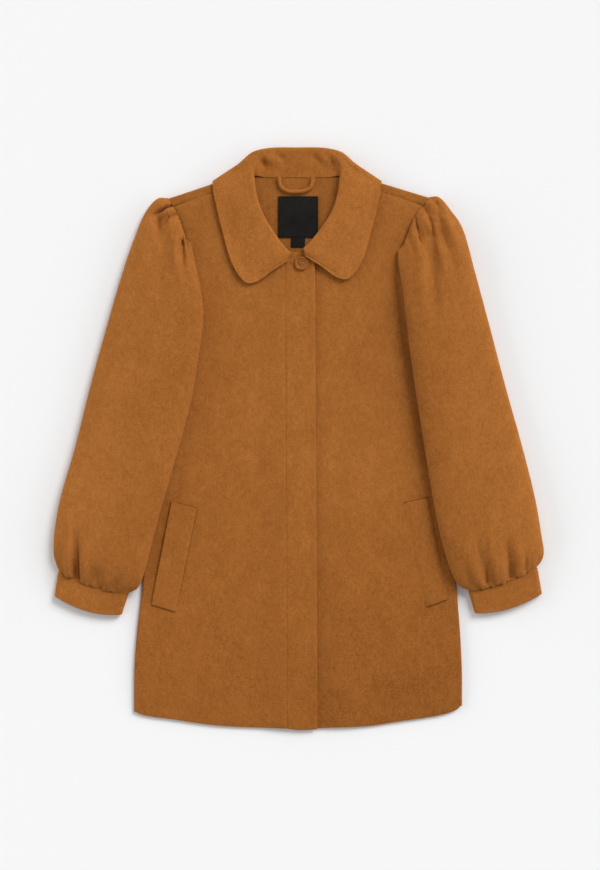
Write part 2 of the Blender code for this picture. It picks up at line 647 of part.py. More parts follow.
def make_loop():
    """Hanger loop: a round cord along a smooth line."""
    path = along(LOOP_PATH, np.linspace(0, 1, 22))
    curve = bpy.data.curves.new("hanger_loop", "CURVE")
    curve.dimensions = "3D"
    curve.bevel_depth = LOOP_RADIUS * MM
    curve.bevel_resolution = 2
    curve.use_fill_caps = True
    line = curve.splines.new("POLY")
    line.points.add(len(path) - 1)
    for spot, (x, y) in zip(line.points, path):
        z = float(back_mid(x, y)) + CLOTH / 2 + SEAM + LOOP_RADIUS
        spot.co = (x * MM, y * MM, z * MM, 1.0)
    add_object("hanger_loop", curve, cloth)


def make_button():
    """Button: a turned profile with four holes cut through it."""
    x, y = BUTTON_CENTRE
    base = float(front_mid(x, y)) + CLOTH / 2 + 2 * SEAM + PLACKET_CLOTH
    form = bmesh.new()
    line = [form.verts.new((radius * MM, 0.0, height * MM)) for radius, height in BUTTON_PROFILE]
    edges = [form.edges.new(pair) for pair in zip(line, line[1:])]
    bmesh.ops.spin(form, geom=line + edges, cent=(0, 0, 0), axis=(0, 0, 1), angle=2 * math.pi,
                   steps=28, use_merge=True)
    bmesh.ops.remove_doubles(form, verts=form.verts, dist=0.00001)
    bmesh.ops.recalc_face_normals(form, faces=form.faces)
    mesh = bpy.data.meshes.new("button")
    form.to_mesh(mesh)
    form.free()
    button = add_object("button", mesh, horn)
    button.location = (x * MM, y * MM, base * MM)
    for k in range(4):
        angle = math.radians(45 + 90 * k)
        form = bmesh.new()
        bmesh.ops.create_cone(form, cap_ends=True, segments=10, radius1=BUTTON_HOLE_RADIUS * MM,
                              radius2=BUTTON_HOLE_RADIUS * MM, depth=12 * MM)
        mesh = bpy.data.meshes.new("button_hole")
        form.to_mesh(mesh)
        form.free()
        cutter = bpy.data.objects.new("button_hole", mesh)
        cutter.location = ((x + BUTTON_HOLE_OUT * math.cos(angle)) * MM,
                           (y + BUTTON_HOLE_OUT * math.sin(angle)) * MM, base * MM)
        cutter.hide_render = True
        cutter.display_type = "WIRE"
        cutters.objects.link(cutter)
        cut = button.modifiers.new("hole", "BOOLEAN")
        cut.operation = "DIFFERENCE"
        cut.solver = "EXACT"
        cut.object = cutter


for thing in list(bpy.data.objects):
    bpy.data.objects.remove(thing)
coat = bpy.data.collections.new("puff_sleeve_coat")
cutters = bpy.data.collections.new("cutters")
bpy.context.scene.collection.children.link(coat)
bpy.context.scene.collection.children.link(cutters)

cloth = material("wool_cloth", TAN, 0.9)
label_cloth = material("label_cloth", BLACK, 0.7)
horn = material("button_horn", HORN, 0.4)

LOW_ROWS = np.concatenate([np.linspace(0.0, 0.56, 7), [0.60, 0.64, 0.68]])
BODY_ROWS = np.concatenate([LOW_ROWS, np.linspace(0.72, 1.0, ARMHOLE_STEPS + 1)])
BACK_ROWS = np.concatenate([LOW_ROWS, np.linspace(0.72, 0.93, ARMHOLE_STEPS + 1),
                            [0.942], np.linspace(FOLD_SHARE, 0.978, 5), [0.988, 1.0]])
BACK_COLUMNS = np.concatenate([np.linspace(-1.0, 0.0, 4), np.linspace(0.0, 0.30, 6)[1:],
                               [0.315, 0.33, 0.36, 0.42, 0.5, 0.58, 0.64, 0.67, 0.685],
                               np.linspace(0.70, 1.0, 6), np.linspace(1.0, 2.0, 4)[1:]])
SLEEVE_ROUND = np.concatenate([[0.0, 0.3, 0.55, 0.73, 0.85, 0.93], np.linspace(1.0, 2.0, 23),
                               np.linspace(2.0, 3.0, 6)[1:]])
SLEEVE_ROWS = np.array([0.0, 0.4, 0.9, 1.4, 2.0, 2.6, 3.3, 4.0, 4.4, 4.7, 5.1, 6.2, 7.3, 8.3,
                        9.2, 10.0, 10.6, 11.1, 11.6, 12.0])
COLLAR_ROWS = np.concatenate([np.linspace(0.0, 1.0, 7), np.linspace(1.0, 1.7, 9)[1:],
                              [1.78, 1.85, 1.92, 2.0]])
COLLAR_HALF = np.array([0.0, 0.8, 1.4, 1.8, 2.2, 2.6, 2.95, 3.2, 3.38, 3.5, 3.6, 3.7, 3.8, 3.9, 4.0, 4.15,
                        4.4, 5.0, 5.8, 6.6, 7.2, 7.7, 8.1, 8.5, 9.0, 9.6, 10.3, 11.0]) / (len(COLLAR) - 1)
COLLAR_COLUMNS = np.concatenate([-COLLAR_HALF[:0:-1], COLLAR_HALF])

sheet("back", BACK_COLUMNS, BACK_ROWS, back_place, CLOTH, cloth)
sheet("front_right", rolled_columns(9), BODY_ROWS, front_place(RIGHT), CLOTH, cloth)
sheet("front_left", rolled_columns(9), BODY_ROWS, front_place(LEFT), CLOTH, cloth)
sheet("placket", np.linspace(0, 1, 5), np.linspace(0, 1, 15), placket_place, PLACKET_CLOTH, cloth)
sheet("collar", COLLAR_COLUMNS, COLLAR_ROWS, collar_place, COLLAR_CLOTH, cloth)
for side, name in ((RIGHT, "right"), (LEFT, "left")):
    sheet("sleeve_" + name, SLEEVE_ROUND, SLEEVE_ROWS, sleeve_place(side), CLOTH, cloth)
    sheet("cuff_" + name, np.linspace(0, 1, 29), np.linspace(0, 1, 4), cuff_place(side), CUFF_CLOTH,
          cloth, closed=True)
    sheet("pocket_welt_" + name, np.linspace(0, 1, 3), np.linspace(0, 1, 9), welt_place(side),
          WELT_CLOTH, cloth)
sheet("label", np.linspace(0, 1, 5), np.linspace(0, 1, 7), label_place(*LABEL), LABEL_CLOTH, label_cloth)
sheet("size_tab", np.linspace(0, 1, 3), np.linspace(0, 1, 3),
      label_place(SIZE_TAB[0], SIZE_TAB[1], SIZE_TAB[2], SIZE_TAB[3]), LABEL_CLOTH, label_cloth)
make_loop()
make_button()
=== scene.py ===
"""Dressed puff sleeve coat, laid flat on a pale floor and seen from straight above.

Tables are in millimetres and MM turns them into metres when a mesh is made. +X is to the
wearer's left, +Y runs to the collar and +Z is up. Tables for one side measure x outward.
"""

import math

import bmesh
import bpy
import numpy as np
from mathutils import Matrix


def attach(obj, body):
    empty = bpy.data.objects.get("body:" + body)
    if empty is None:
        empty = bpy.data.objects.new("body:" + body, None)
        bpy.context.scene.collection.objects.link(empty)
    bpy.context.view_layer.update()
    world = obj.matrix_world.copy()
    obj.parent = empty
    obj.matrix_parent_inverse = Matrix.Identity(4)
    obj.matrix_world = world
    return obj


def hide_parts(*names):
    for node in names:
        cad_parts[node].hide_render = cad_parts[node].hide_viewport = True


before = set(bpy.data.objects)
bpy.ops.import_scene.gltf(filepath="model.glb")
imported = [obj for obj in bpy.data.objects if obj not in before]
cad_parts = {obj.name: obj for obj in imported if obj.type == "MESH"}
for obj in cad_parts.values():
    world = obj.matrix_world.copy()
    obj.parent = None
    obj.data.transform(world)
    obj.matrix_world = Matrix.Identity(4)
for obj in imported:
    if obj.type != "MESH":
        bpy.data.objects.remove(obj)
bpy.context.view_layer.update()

MM = 0.001
RIGHT = -1
LEFT = 1

# Walls of cloth, and the gap kept at every seam
CLOTH = 2.0
COLLAR_CLOTH = 2.8
PLACKET_CLOTH = 3.0
CUFF_CLOTH = 3.0
WELT_CLOTH = 1.6
LABEL_CLOTH = 1.0
SEAM = 0.3
SIDE_SEAM = 0.7

# Heights of the layers of the body
BODY_LOFT = 4.6
HEM_LOFT = 2.7
HEM_SOFT = (-440.0, -330.0)
NECK_LIFT = 3.4
NECK_LIFT_Y = (296.0, 366.0)
NECK_LIFT_X = (132.0, 188.0)
# Where along x the right front climbs to the fly band, and the collar comes down past it
FLY_RISE = (-62.0, -20.0)
FLY_FALL = (27.0, 52.0)

# Outline of the body, from hem corner to underarm and on to the shoulder tip
SIDE = {
    RIGHT: [(247, -409), (246.4, -345), (243.6, -302), (239.8, -266), (235, -227),
            (231.5, -168), (221.8, -2), (212, 163)],
    LEFT: [(244.8, -400), (244.6, -350), (242.6, -302), (240, -266), (237, -227),
           (232.8, -168), (222.4, -2), (212, 163)],
}
ARMHOLE = {
    RIGHT: [(212, 163), (190, 187), (172, 228), (166.5, 265), (170, 297.5),
            (177, 322), (184, 340), (196, 359.5)],
    LEFT: [(212, 163), (186, 184), (163, 222), (154, 256), (156, 285),
           (163.7, 306), (173.6, 330.5), (195.8, 361)],
}
HEM = {
    RIGHT: [(247, -409), (232, -414.5), (189, -420.5), (117, -430), (17.2, -434)],
    LEFT: [(244.8, -400), (236, -407), (209.5, -414.5), (143, -424.6), (95.6, -430.8),
           (-10, -434)],
}
SHOULDER_FOLD = {
    RIGHT: [(196, 359.5), (88, 394.6)],
    LEFT: [(195.8, 361), (83, 394.4)],
}
HEM_MID = (0, -434)
SHOULDER_STRIP = 13.0
ARMHOLE_STEPS = 9
TIP_STEP = 0.78
# Shares of the way from the hem to the top of a panel, and of the way across the top of the back
UNDERARM_SHARE = 0.72
NECK_SHARE = 0.86
SHOULDER_SHARE = 0.93
FOLD_SHARE = 0.955
ROLL_FADE = 0.16
BACK_NECK_FROM = 0.30
BACK_NECK_TO = 0.70
FRONT_NECK = {
    RIGHT: [(88, 381), (84.5, 352), (72.5, 320), (55, 295), (38, 278), (20.4, 272)],
    LEFT: [(83, 384), (79.5, 352), (67.5, 320), (50, 295), (32, 278), (-10, 270)],
}
FRONT_EDGE = {RIGHT: (18, 14.8), LEFT: (-10, -10)}
BACK_NECK = [(-83, 390.8), (-64, 391.8), (-2.5, 391.8), (59, 391.8), (78, 390.8)]

# Fly band: left and right edges at its top and at the hem
PLACKET_TOP = (-20, 24.2, 279)
PLACKET_HEM = (-16.8, 28, -436)
PLACKET_HEM_ROUND = 2.0

# Collar, half of it from the middle of the back to the front end.
# neck: seam to the body; roll: top of the fold over, and its radius; edge: outer edge before it
# is folded under; fold: a point of the line it folds under, the way that line faces in degrees
# and its radius.
COLLAR_MID = -2.5
COLLAR = (
    # neck_x neck_y neck_z roll_x roll_y roll_z roll_r edge_x edge_y fold_x fold_y face radius
    (0, 391.2, 4.9, 0, 431.6, 8, 3.3, 0, 497, 0, 431.6, 90, 3.3),
    (32, 391.2, 4.9, 32, 431.6, 8, 3.3, 34, 497, 32, 431.6, 90, 3.3),
    (49, 391.7, 5.4, 57, 424, 10.4, 3.4, 90, 481, 53.5, 428.4, 69, 4.3),
    (67.5, 394, 7.6, 66.5, 406, 15.4, 3.6, 123, 439, 53.6, 429, 53.9, 5.2),
    (78.5, 384, 9.8, 68.5, 386, 18.6, 4, 126, 381, 54.4, 430, 53.9, 5.6),
    (76, 357, 9, 64, 358, 18.6, 4, 121, 350, 54.4, 430, 53.9, 5.6),
    (64, 327, 8.4, 53.5, 331, 17.8, 4, 111.5, 311, 54.4, 430, 53.9, 5.6),
    (47.5, 304, 9.2, 39, 309, 17.4, 3.6, 98, 266, 54.4, 430, 53.9, 5.6),
    (35, 290.5, 10.8, 28, 295, 17.6, 3, 79, 238, 54.4, 430, 53.9, 5.6),
    (26.5, 283.5, 12.2, 20.5, 286.5, 17.8, 2.6, 60, 238, 54.4, 430, 53.9, 5.6),
    (19.5, 278.5, 12.6, 15, 281.5, 17.4, 2.3, 37, 254, 54.4, 430, 53.9, 5.6),
    (13.5, 275.5, 12.6, 10.5, 278.5, 17.2, 2.2, 12.5, 269.5, 54.4, 430, 53.9, 5.6),
)
COLLAR_TILT = 3.0
COLLAR_TILT_FROM = (4.0, 9.0)
COLLAR_REST = 1.5
COLLAR_FRONT_FROM = (3.3, 4.4)

# Sleeves, sections from the armhole seam to the wrist.
# edge: radius of the soft outer and inner edges; crown: height of the top above those edges
SLEEVE = {
    RIGHT: (
        # outer_x outer_y inner_x inner_y edge crown
        (197, 361, 169, 292, 3, 2.6),
        (213, 359, 161.5, 268, 3.6, 10),
        (229.5, 337, 152, 240, 4.8, 14),
        (245, 299, 145, 209, 6, 16),
        (262, 250, 143.5, 176, 6.6, 17),
        (286, 168, 149.5, 129, 7, 17),
        (309.5, 83, 162.5, 53, 7, 17),
        (333.5, -13, 190, -47, 7.6, 18),
        (354.5, -86, 210.5, -118, 8.4, 20),
        (364, -138, 222, -163, 8.6, 20),
        (365.5, -170, 231.5, -200, 7.8, 17),
        (362, -187, 240, -221, 6.2, 11),
        (358, -197, 255, -230, 4.2, 8),
    ),
    LEFT: (
        # outer_x outer_y inner_x inner_y edge crown
        (197, 362.5, 155, 280, 3, 2.6),
        (211, 361.5, 154.5, 258, 3.6, 10),
        (226.5, 342, 157, 226, 4.8, 14),
        (245.5, 311, 159, 200, 6, 16),
        (263, 248, 162, 172, 6.6, 17),
        (284.5, 168, 167, 131, 7, 17),
        (309, 75, 179.5, 44, 7, 17),
        (333.5, -13, 194.5, -48, 7.6, 18),
        (352.5, -90, 207.5, -122, 8.4, 20),
        (362, -145, 218.5, -167, 8.6, 20),
        (365.5, -170, 229.5, -200, 7.8, 17),
        (361.5, -184, 239.5, -218, 6.2, 11),
        (355, -191, 254, -225, 4.2, 8),
    ),
}
SLEEVE_REST = 9.0
UNDERARM_OUT = 7.0
UNDERARM_GAP = 1.5
BELOW_ARM = (-170.0, -120.0)
SIDE_RAMP = (0.5, 24.0)
WRIST_SAG = 5.0
CAP_HOOK = 6.0
# Stretches of a sleeve, counted in sections: where the cap leaves the armhole seam, where its inner
# corner hooks in, where the wrist sags and where its seam puckers
CAP_BLEND = (0.0, 2.5)
HOOK_FADE = (0.0, 3.0)
SAG_FROM = (10.0, 12.0)
PUCKER_FROM = (11.2, 12.0)
LAST_SECTION = 12.0
# Underside of a sleeve, cut along the body's edge: places tried across it, the first one allowed at
# the cap and how fast that falls, and the extra room at the underarm corner
CUT_TRIES = np.linspace(0.02, 0.90, 177)
CUT_FROM = 0.88
CUT_FALL = 0.2
CUT_JUMP = -3.0
CORNER_ROOM = 3.0
CORNER_REACH = 25.0
# Largest gathers on the top of a sleeve: place across (0 outer edge, 1 inner edge), width,
# height (a trough is negative) and the sections it runs between and is full at
GATHERS = {
    RIGHT: (
        # across width height from full to
        (0.20, 0.035, -3, 0.1, 0.9, 2.6),
        (0.29, 0.045, 2.4, 0.1, 1, 3.2),
        (0.42, 0.045, -3.4, 0.1, 1.6, 4.2),
        (0.58, 0.050, 2, 0.1, 1.2, 3.6),
        (0.74, 0.040, -2.2, 0.1, 0.9, 2.8),
        (0.14, 0.035, 2.4, 9, 11.2, 12.4),
        (0.22, 0.030, -3.6, 8.2, 11.2, 12.4),
        (0.32, 0.040, 2.4, 8.6, 11, 12.4),
        (0.45, 0.045, -2.8, 9.2, 11.2, 12.4),
        (0.58, 0.045, 2.2, 9.2, 11.2, 12.4),
        (0.72, 0.045, -2.4, 9.4, 11.2, 12.4),
    ),
    LEFT: (
        # across width height from full to
        (0.14, 0.040, 2.6, 0.1, 1.2, 4.4),
        (0.25, 0.045, -3.2, 0.1, 1.4, 4.8),
        (0.37, 0.040, 2.8, 0.1, 1.2, 5),
        (0.52, 0.045, -3.2, 0.1, 1, 3.4),
        (0.72, 0.045, -2.2, 0.1, 0.9, 2.6),
        (0.18, 0.040, 2.2, 9.2, 11.2, 12.4),
        (0.35, 0.045, -3.2, 8.4, 11.2, 12.4),
        (0.47, 0.045, 2.4, 9, 11, 12.4),
        (0.62, 0.045, -3.2, 8, 11.2, 12.4),
        (0.75, 0.040, 2.2, 9.2, 11.2, 12.4),
        (0.86, 0.035, -2.2, 9.6, 11.2, 12.4),
    ),
}

# Cuffs: the seam end and the open end, with the sag of each line
CUFF = {
    RIGHT: ((358.6, -198.6, 256, -231.6, 5), (364, -236, 266.5, -263, 9)),
    LEFT: ((355.8, -192.6, 255, -226.6, 5), (362.6, -232.5, 265, -261, 8)),
}
CUFF_EDGE = 4.2
CUFF_CROWN = 4.2

# Pocket welts: corners from the inner top one round the strip
WELT = {
    RIGHT: ((151, -102.4), (190.3, -92), (220.7, -249), (183.4, -260.3)),
    LEFT: ((155.8, -94.7), (194.6, -86), (223.4, -241.3), (190, -253.4)),
}

# Trim at the neck
LOOP_PATH = [(-29.5, 391), (-27, 378), (-17, 370.8), (-4.3, 369.6), (8.5, 371),
             (18.5, 377), (21.5, 391)]
LOOP_RADIUS = 2.9
LOOP_WALL = 0.9
LABEL = (-30.7, 29, 301.3, 363)
SIZE_TAB = (-11.6, 9.4, 286.6, 301)
BUTTON_CENTRE = (4.1, 262)
# Turned profile of the button, from the middle of its face round to the back
BUTTON_PROFILE = (
    # radius height
    (0, 2), (6.3, 2), (7.2, 2.9), (8.4, 3.7), (9.6, 3.4), (10.5, 2.2), (10, 0.6),
    (8.4, 0), (0, 0),
)
BUTTON_HOLE_RADIUS = 1.0
BUTTON_HOLE_OUT = 2.6

# How far open edges stand off, and how far the left sleeve's inner edge stands over the front
WELT_GAPE = {RIGHT: 2.0, LEFT: 0.0}
PLACKET_GAPE = 1.2
# raised near the cap, sunk near the wrist
INNER_LIFT = {RIGHT: (0.0, 0.0), LEFT: (4.4, 2.0)}
# start full fade end, in sections
RAISED_RUN = (0.8, 2.5, 4.5, 8.0)
SUNK_RUN = (6.0, 8.5, 10.8, 12.0)
RISE_ACROSS = (0.15, 1.0)
ARCH_POWER = 0.8
FOLD_FILL = 1.6
PUCKER = 0.9
PUCKER_BACK = 2.6
PUCKER_WAVES = (
    # height across side start
    (1.0, 46.0, 0.9, 0.0), (0.7, 83.0, 0.0, 2.0),
)
LEAF_LIFT = {RIGHT: 1.0, LEFT: 1.6}
LEAF_LOWEST = -0.3
BACK_WAVE = 0.6
PLACKET_GAPE_WIDTH = 9.0

# How deep the cloth sinks at sewn edges, and how wide
SHOULDER_SEAM = (0.7, 2.4)
ARMHOLE_SEAM = (1.0, 3.0)
FLY_SEAM = (1.0, 2.6)
BAND_SEAM = (0.35, 1.4)
WELT_END_SEAM = (0.5, 1.6)
WELT_INNER_SEAM = {RIGHT: (1.3, 2.2), LEFT: (1.7, 5.0)}
WELT_OUTER_SEAM = (1.6, 5.0)

# Shares of a panel, or rows of the collar, between which its folds and seams fade in or out
BACK_WAVE_FADE = (0.80, 0.90)
SHOULDER_ACROSS = (0.28, 0.31)
FRONT_FOLD_FROM = (0.0, 0.08)
FRONT_FOLD_FADE = (0.93, 1.0)
ARMHOLE_SEAM_FROM = (0.70, 0.76)
FLY_SEAM_FADE = (0.84, 0.88)
STAND_UP = (0.05, 0.3, 0.6, 0.95)
STAND_ROWS = (2.8, 4.0)
LEAF_ROWS = (4.0, 5.2)
LEAF_OUT = (1.15, 1.4)
LEAF_EDGE = (1.78, 2.0)
WELT_OPEN = (0.55, 1.0)
WELT_BOW = 0.4

# Sewing: radius of the thread, length and rise of a stitch, and how far in from the edge it is
WELT_THREAD = 0.42
WELT_STITCH = (2.6, 0.25)
WELT_STITCH_ACROSS = np.array([0.02, 0.98])
WELT_STITCH_UP = (0.006, 0.994)
LABEL_THREAD = 0.18
LABEL_STITCH = (2.4, 0.2)
LABEL_STITCH_IN = (1.4, 1.2)
LABEL_STITCH_OVER = 0.35
BUTTON_THREAD = 0.36
STRAND_APART = 0.35
# way across, height
BUTTON_STRAND = ((-1.0, 1.0), (-0.7, 2.4), (0.0, 2.6), (0.7, 2.4), (1.0, 1.0))
# Dark strand laid in the right welt's inner seam as painted shade for the seam's groove: where it runs up
# the seam and across, its depth under the top of the cloth, and how much deeper it gets where it fades out
SEAM_SHADE_UP = (0.06, 0.99)
SEAM_SHADE_ACROSS = 0.012
SEAM_SHADE_DEPTH = 1.36
SEAM_SHADE_SINK = 0.16
SEAM_SHADE_FADE = (0.06, 0.4)
# Waves of the label, counted from its middle in spans of its width
LABEL_SPAN = 60.0
LABEL_MID_Y = 330.0
LABEL_RISE = 0.3
LABEL_WAVES = (
    # height across up
    (0.22, 5.0, 3.0), (0.18, -2.0, 7.0),
)

# Light: two far soft lights and a strip to each side of the coat
# bearing height spread power
KEY = (49.0, 38.5, 29.0, 2.17)
FILL = (125.0, 50.0, 40.0, 0.24)
# out height tilt length depth power
STRIP = {RIGHT: (8.0, 2.70, 17.0, 20.0, 4.0, 540.0), LEFT: (8.0, 2.80, 18.0, 20.0, 4.0, 455.0)}
WORLD_POWER = 0.29

# Floor and camera, in metres; the lens and its sensor in millimetres
FLOOR_SIZE = 40.0
FLOOR_HEIGHT = -0.0004
CAMERA_PLACE = (0.0019, 0.0056, 3.081)
LENS = 85.0
SENSOR_HEIGHT = 36.0

# Creases lie along a line in plan from their deep end to the end where they fade out.
# A trough has a negative height. Sleeve tables measure x outward from the middle.
CAP_CREASES = {
    RIGHT: (
        # deep_x deep_y fade_x fade_y width height
        (190, 348.5, 226, 329, 2.6, -7.5),
        (192, 342, 222, 322, 3.6, 4.4),
        (203, 355, 216, 345, 7, 3.6),
        (183.5, 337, 196.5, 329, 2.2, -4.8),
        (194.6, 330.5, 201.5, 313, 2.4, -4.8),
        (209, 328, 206, 272, 10, -8),
        (218, 326, 216, 280, 6, 3),
        (192, 322, 194, 286, 5, 3),
        (175.5, 295, 172, 284, 3, -4.6),
        (175, 286, 172, 238, 8, -6),
        (184.5, 296, 182.5, 240, 4.6, 3.4),
        (226, 318, 238, 256, 8, 2.8),
        (200, 262, 206, 170, 18, -2),
    ),
    LEFT: (
        # deep_x deep_y fade_x fade_y width height
        (174.6, 337, 180.5, 292, 2, -4.4),
        (178.8, 300, 185.5, 282, 2.2, -3.6),
        (181, 338, 187.5, 296, 4.2, 2.2),
        (188, 350, 197, 318, 3.2, -3.8),
        (196.5, 326, 204, 276, 3.6, -4),
        (195.5, 350, 204, 320, 4.6, 2.8),
        (204.5, 326, 214, 268, 5, 3),
        (206, 350, 215, 316, 4.6, -3),
        (213.5, 322, 225, 262, 6, -2.8),
        (209, 360, 220, 338, 6, 2.6),
        (218, 342, 239, 284, 6.5, 3.2),
        (229, 337, 220, 328, 3, -4),
        (187.9, 353, 180, 338, 2.2, -3),
        (164, 309, 163, 284, 3, -3),
        (170, 318, 168, 280, 4, 2),
        (199, 300, 203, 145, 11, -7),
        (179, 285, 187, 150, 10, 3.2),
        (240, 290, 254, 170, 17, 4.2),
    ),
}
WRIST_CREASES = {
    RIGHT: (
        # deep_x deep_y fade_x fade_y width height
        (326.8, -208, 328.5, -134, 2.4, -5.6),
        (331, -207, 332, -120, 5.6, -4.4),
        (343.5, -203, 342, -90, 5.2, 5.2),
        (318.5, -208, 317, -136, 6, 3.2),
        (297, -220, 300, -184, 6.5, -4.2),
        (306, -217, 306, -182, 5, 1.6),
        (283, -226, 287, -196, 5, 1.4),
        (272, -229, 270, -208, 3.6, -2),
    ),
    LEFT: (
        # deep_x deep_y fade_x fade_y width height
        (279, -214, 254, -112, 5, -3.2),
        (280, -214, 277, -162, 3, -2.2),
        (313.5, -206, 305.5, -118, 6, -3.4),
        (313.5, -206, 312, -162, 3.2, -1.8),
        (295, -211, 279, -112, 7.5, 3.2),
        (328, -200, 322, -120, 7.5, 2.6),
        (265, -220, 246, -150, 7, 2.4),
        (338, -196, 338, -164, 3.4, -2.4),
        (350, -192, 353, -160, 4, 1.6),
    ),
}
# Small gathers right at a gathered seam: place across, half width, depth and reach along the sleeve
CAP_GATHERS = (
    # across width depth reach
    (0.10, 0.020, 1.2, 0.30), (0.18, 0.016, 1.6, 0.36), (0.27, 0.018, 1.4, 0.30), (0.35, 0.015, 1.8, 0.42),
    (0.44, 0.018, 1.4, 0.34), (0.52, 0.016, 1.8, 0.40), (0.60, 0.018, 1.3, 0.32), (0.68, 0.015, 1.7, 0.40),
    (0.77, 0.018, 1.3, 0.32), (0.85, 0.016, 1.4, 0.30),
)
WRIST_GATHERS = (
    # across width depth reach
    (0.08, 0.014, 0.9, 0.30), (0.16, 0.012, 1.2, 0.40), (0.22, 0.012, 0.8, 0.24), (0.31, 0.013, 1.3, 0.42),
    (0.39, 0.012, 0.8, 0.22), (0.45, 0.013, 1.2, 0.34), (0.53, 0.012, 0.7, 0.22), (0.60, 0.013, 1.2, 0.36),
    (0.69, 0.013, 1.0, 0.30), (0.78, 0.012, 0.8, 0.24), (0.87, 0.014, 1.0, 0.30),
)
# Soft waves of the body and the collar, in plan
FRONT_CREASES = (
    # deep_x deep_y fade_x fade_y width height
    (-148, 240, -118, 90, 16, 0.9),
    (-96, 232, -104, 60, 22, -0.8),
    (-200, -60, -130, -20, 18, -0.8),
    (-60, -180, -72, -420, 26, 0.9),
    (-150, -290, -166, -430, 22, 0.9),
    (-205, -300, -214, -415, 14, -0.7),
    (-110, -260, -118, -430, 18, -0.8),
    (60, 226, 96, 60, 20, -0.9),
    (128, 262, 122, 90, 18, 0.9),
    (70, -150, 84, -425, 26, 0.9),
    (150, -280, 170, -420, 20, 0.9),
    (120, -240, 126, -425, 16, -0.8),
    (196, -290, 208, -410, 14, -0.7),
    (68, -432, 60, -170, 24, 1.8),
    (150, 236, 162, 120, 9, -1.8),
    (162, 150, 186, 20, 9, -1.8),
    (184, 40, 208, -110, 9, -1.6),
)
BACK_CREASES = (
    # deep_x deep_y fade_x fade_y width height
    (-120, 150, -150, -200, 24, 0.5),
    (110, 120, 140, -220, 24, 0.5),
    (-30, 60, -40, -380, 26, 0.5),
    (60, 0, 70, -400, 22, 0.5),
)
STAND_CREASES = (
    # deep_x deep_y fade_x fade_y width height
    (-52, 410, -59, 436, 6, -2.6),
    (-58, 424, -50, 396, 6.5, -3.4),
    (-50, 430, -22, 400, 6.5, 4),
    (-34, 432, -12, 406, 5, -3),
    (51, 424, 58, 388, 8, -5),
    (20, 430, 44, 398, 5.5, -3.8),
    (34, 430, 48, 404, 6, 3),
)
LEAF_CREASES = (
    # deep_x deep_y fade_x fade_y width height
    (-92, 350, -74, 280, 13, 0.8),
    (-104, 330, -90, 262, 9, -0.5),
    (88, 340, 70, 276, 13, 0.8),
    (98, 320, 84, 262, 9, -0.5),
    (-92, 398, -70, 374, 9, -0.6),
    (88, 398, 66, 374, 9, -0.6),
)


def ease(value, low, high):
    """0 below low, 1 above high and an S curve between."""
    share = np.clip((np.asarray(value, float) - low) / (high - low), 0.0, 1.0)
    return share * share * (3.0 - 2.0 * share)


def hump(value, start, full, fade, end):
    """0 outside start and end, 1 from full to fade and S curves between."""
    return ease(value, start, full) * (1 - ease(value, fade, end))


def through(table, place):
    """Rows of a table at places counted in rows, along a smooth curve through them."""
    rows = np.asarray(table, float)
    rows = np.vstack([2 * rows[0] - rows[1], rows, 2 * rows[-1] - rows[-2]])
    place = np.clip(np.asarray(place, float), 0.0, len(table) - 1.0)
    first = np.minimum(place.astype(int), len(table) - 2)
    t = (place - first)[..., None]
    a, b, c, d = (rows[first + k] for k in range(4))
    return 0.5 * (2 * b + (c - a) * t + (2 * a - 5 * b + 4 * c - d) * t ** 2
                  + (3 * b - a - 3 * c + d) * t ** 3)


def along(points, share):
    """Points at shares of the length of a smooth line through the given points."""
    dense = through(points, np.linspace(0, len(points) - 1, 24 * len(points)))
    run = np.concatenate([[0.0], np.cumsum(np.hypot(*np.diff(dense, axis=0).T))])
    share = np.asarray(share, float) * run[-1]
    return np.stack([np.interp(share, run, dense[:, k]) for k in (0, 1)], axis=-1)


def chain(share, *pieces):
    """A line made of pieces, each (share it ends at, points); a share picks a point."""
    share = np.asarray(share, float)
    out = np.zeros(share.shape + (2,))
    start = 0.0
    for end, points in pieces:
        part = np.clip((share - start) / (end - start), 0.0, 1.0)
        here = share >= start
        out[here] = along(points, part)[here]
        start = end
    return out


def patch(u, v, bottom, top, first, last):
    """A flat sheet stretched between four edge lines that meet at its corners."""
    zero, one = np.zeros_like(u), np.ones_like(u)
    a, b = u[..., None], v[..., None]
    corners = ((1 - a) * (1 - b) * bottom(zero) + a * (1 - b) * bottom(one)
               + (1 - a) * b * top(zero) + a * b * top(one))
    return (1 - b) * bottom(u) + b * top(u) + (1 - a) * first(v) + a * last(v) - corners


def lift(x, y):
    """How far the body is raised where it lies on the folded collar."""
    return NECK_LIFT * ease(y, *NECK_LIFT_Y) * (1 - ease(np.abs(x - COLLAR_MID), *NECK_LIFT_X))


def loft(y):
    """Height of the middle of the front wall over the middle of the back wall."""
    return HEM_LOFT + (BODY_LOFT - HEM_LOFT) * ease(y, *HEM_SOFT)


def back_mid(x, y):
    """Middle of the back's wall."""
    return CLOTH / 2 + lift(x, y)


def front_mid(x, y):
    """Middle of the left front's wall, and of the right one away from the fly."""
    return back_mid(x, y) + loft(y)


def right_front_mid(x, y):
    """Middle of the right front's wall, which climbs to the fly band."""
    return front_mid(x, y) + PLACKET_CLOTH * ease(x, *FLY_RISE)


def collar_ground(x, y):
    """Top of what the collar lies on."""
    rise = ease(x, *FLY_RISE) * (1 - ease(x, *FLY_FALL))
    return front_mid(x, y) + CLOTH / 2 + (PLACKET_CLOTH + SEAM) * rise


def side_line(side, y):
    """Outward x of the edge of the body at a height y."""
    share = np.linspace(0, 1, 60)
    line = np.vstack([along(SIDE[side], share), along(ARMHOLE[side], share)])
    return np.interp(y, line[:, 1], line[:, 0])


def below_arm(y):
    """0 above the underarm, 1 below it and an S curve between."""
    return ease(-y, *BELOW_ARM)


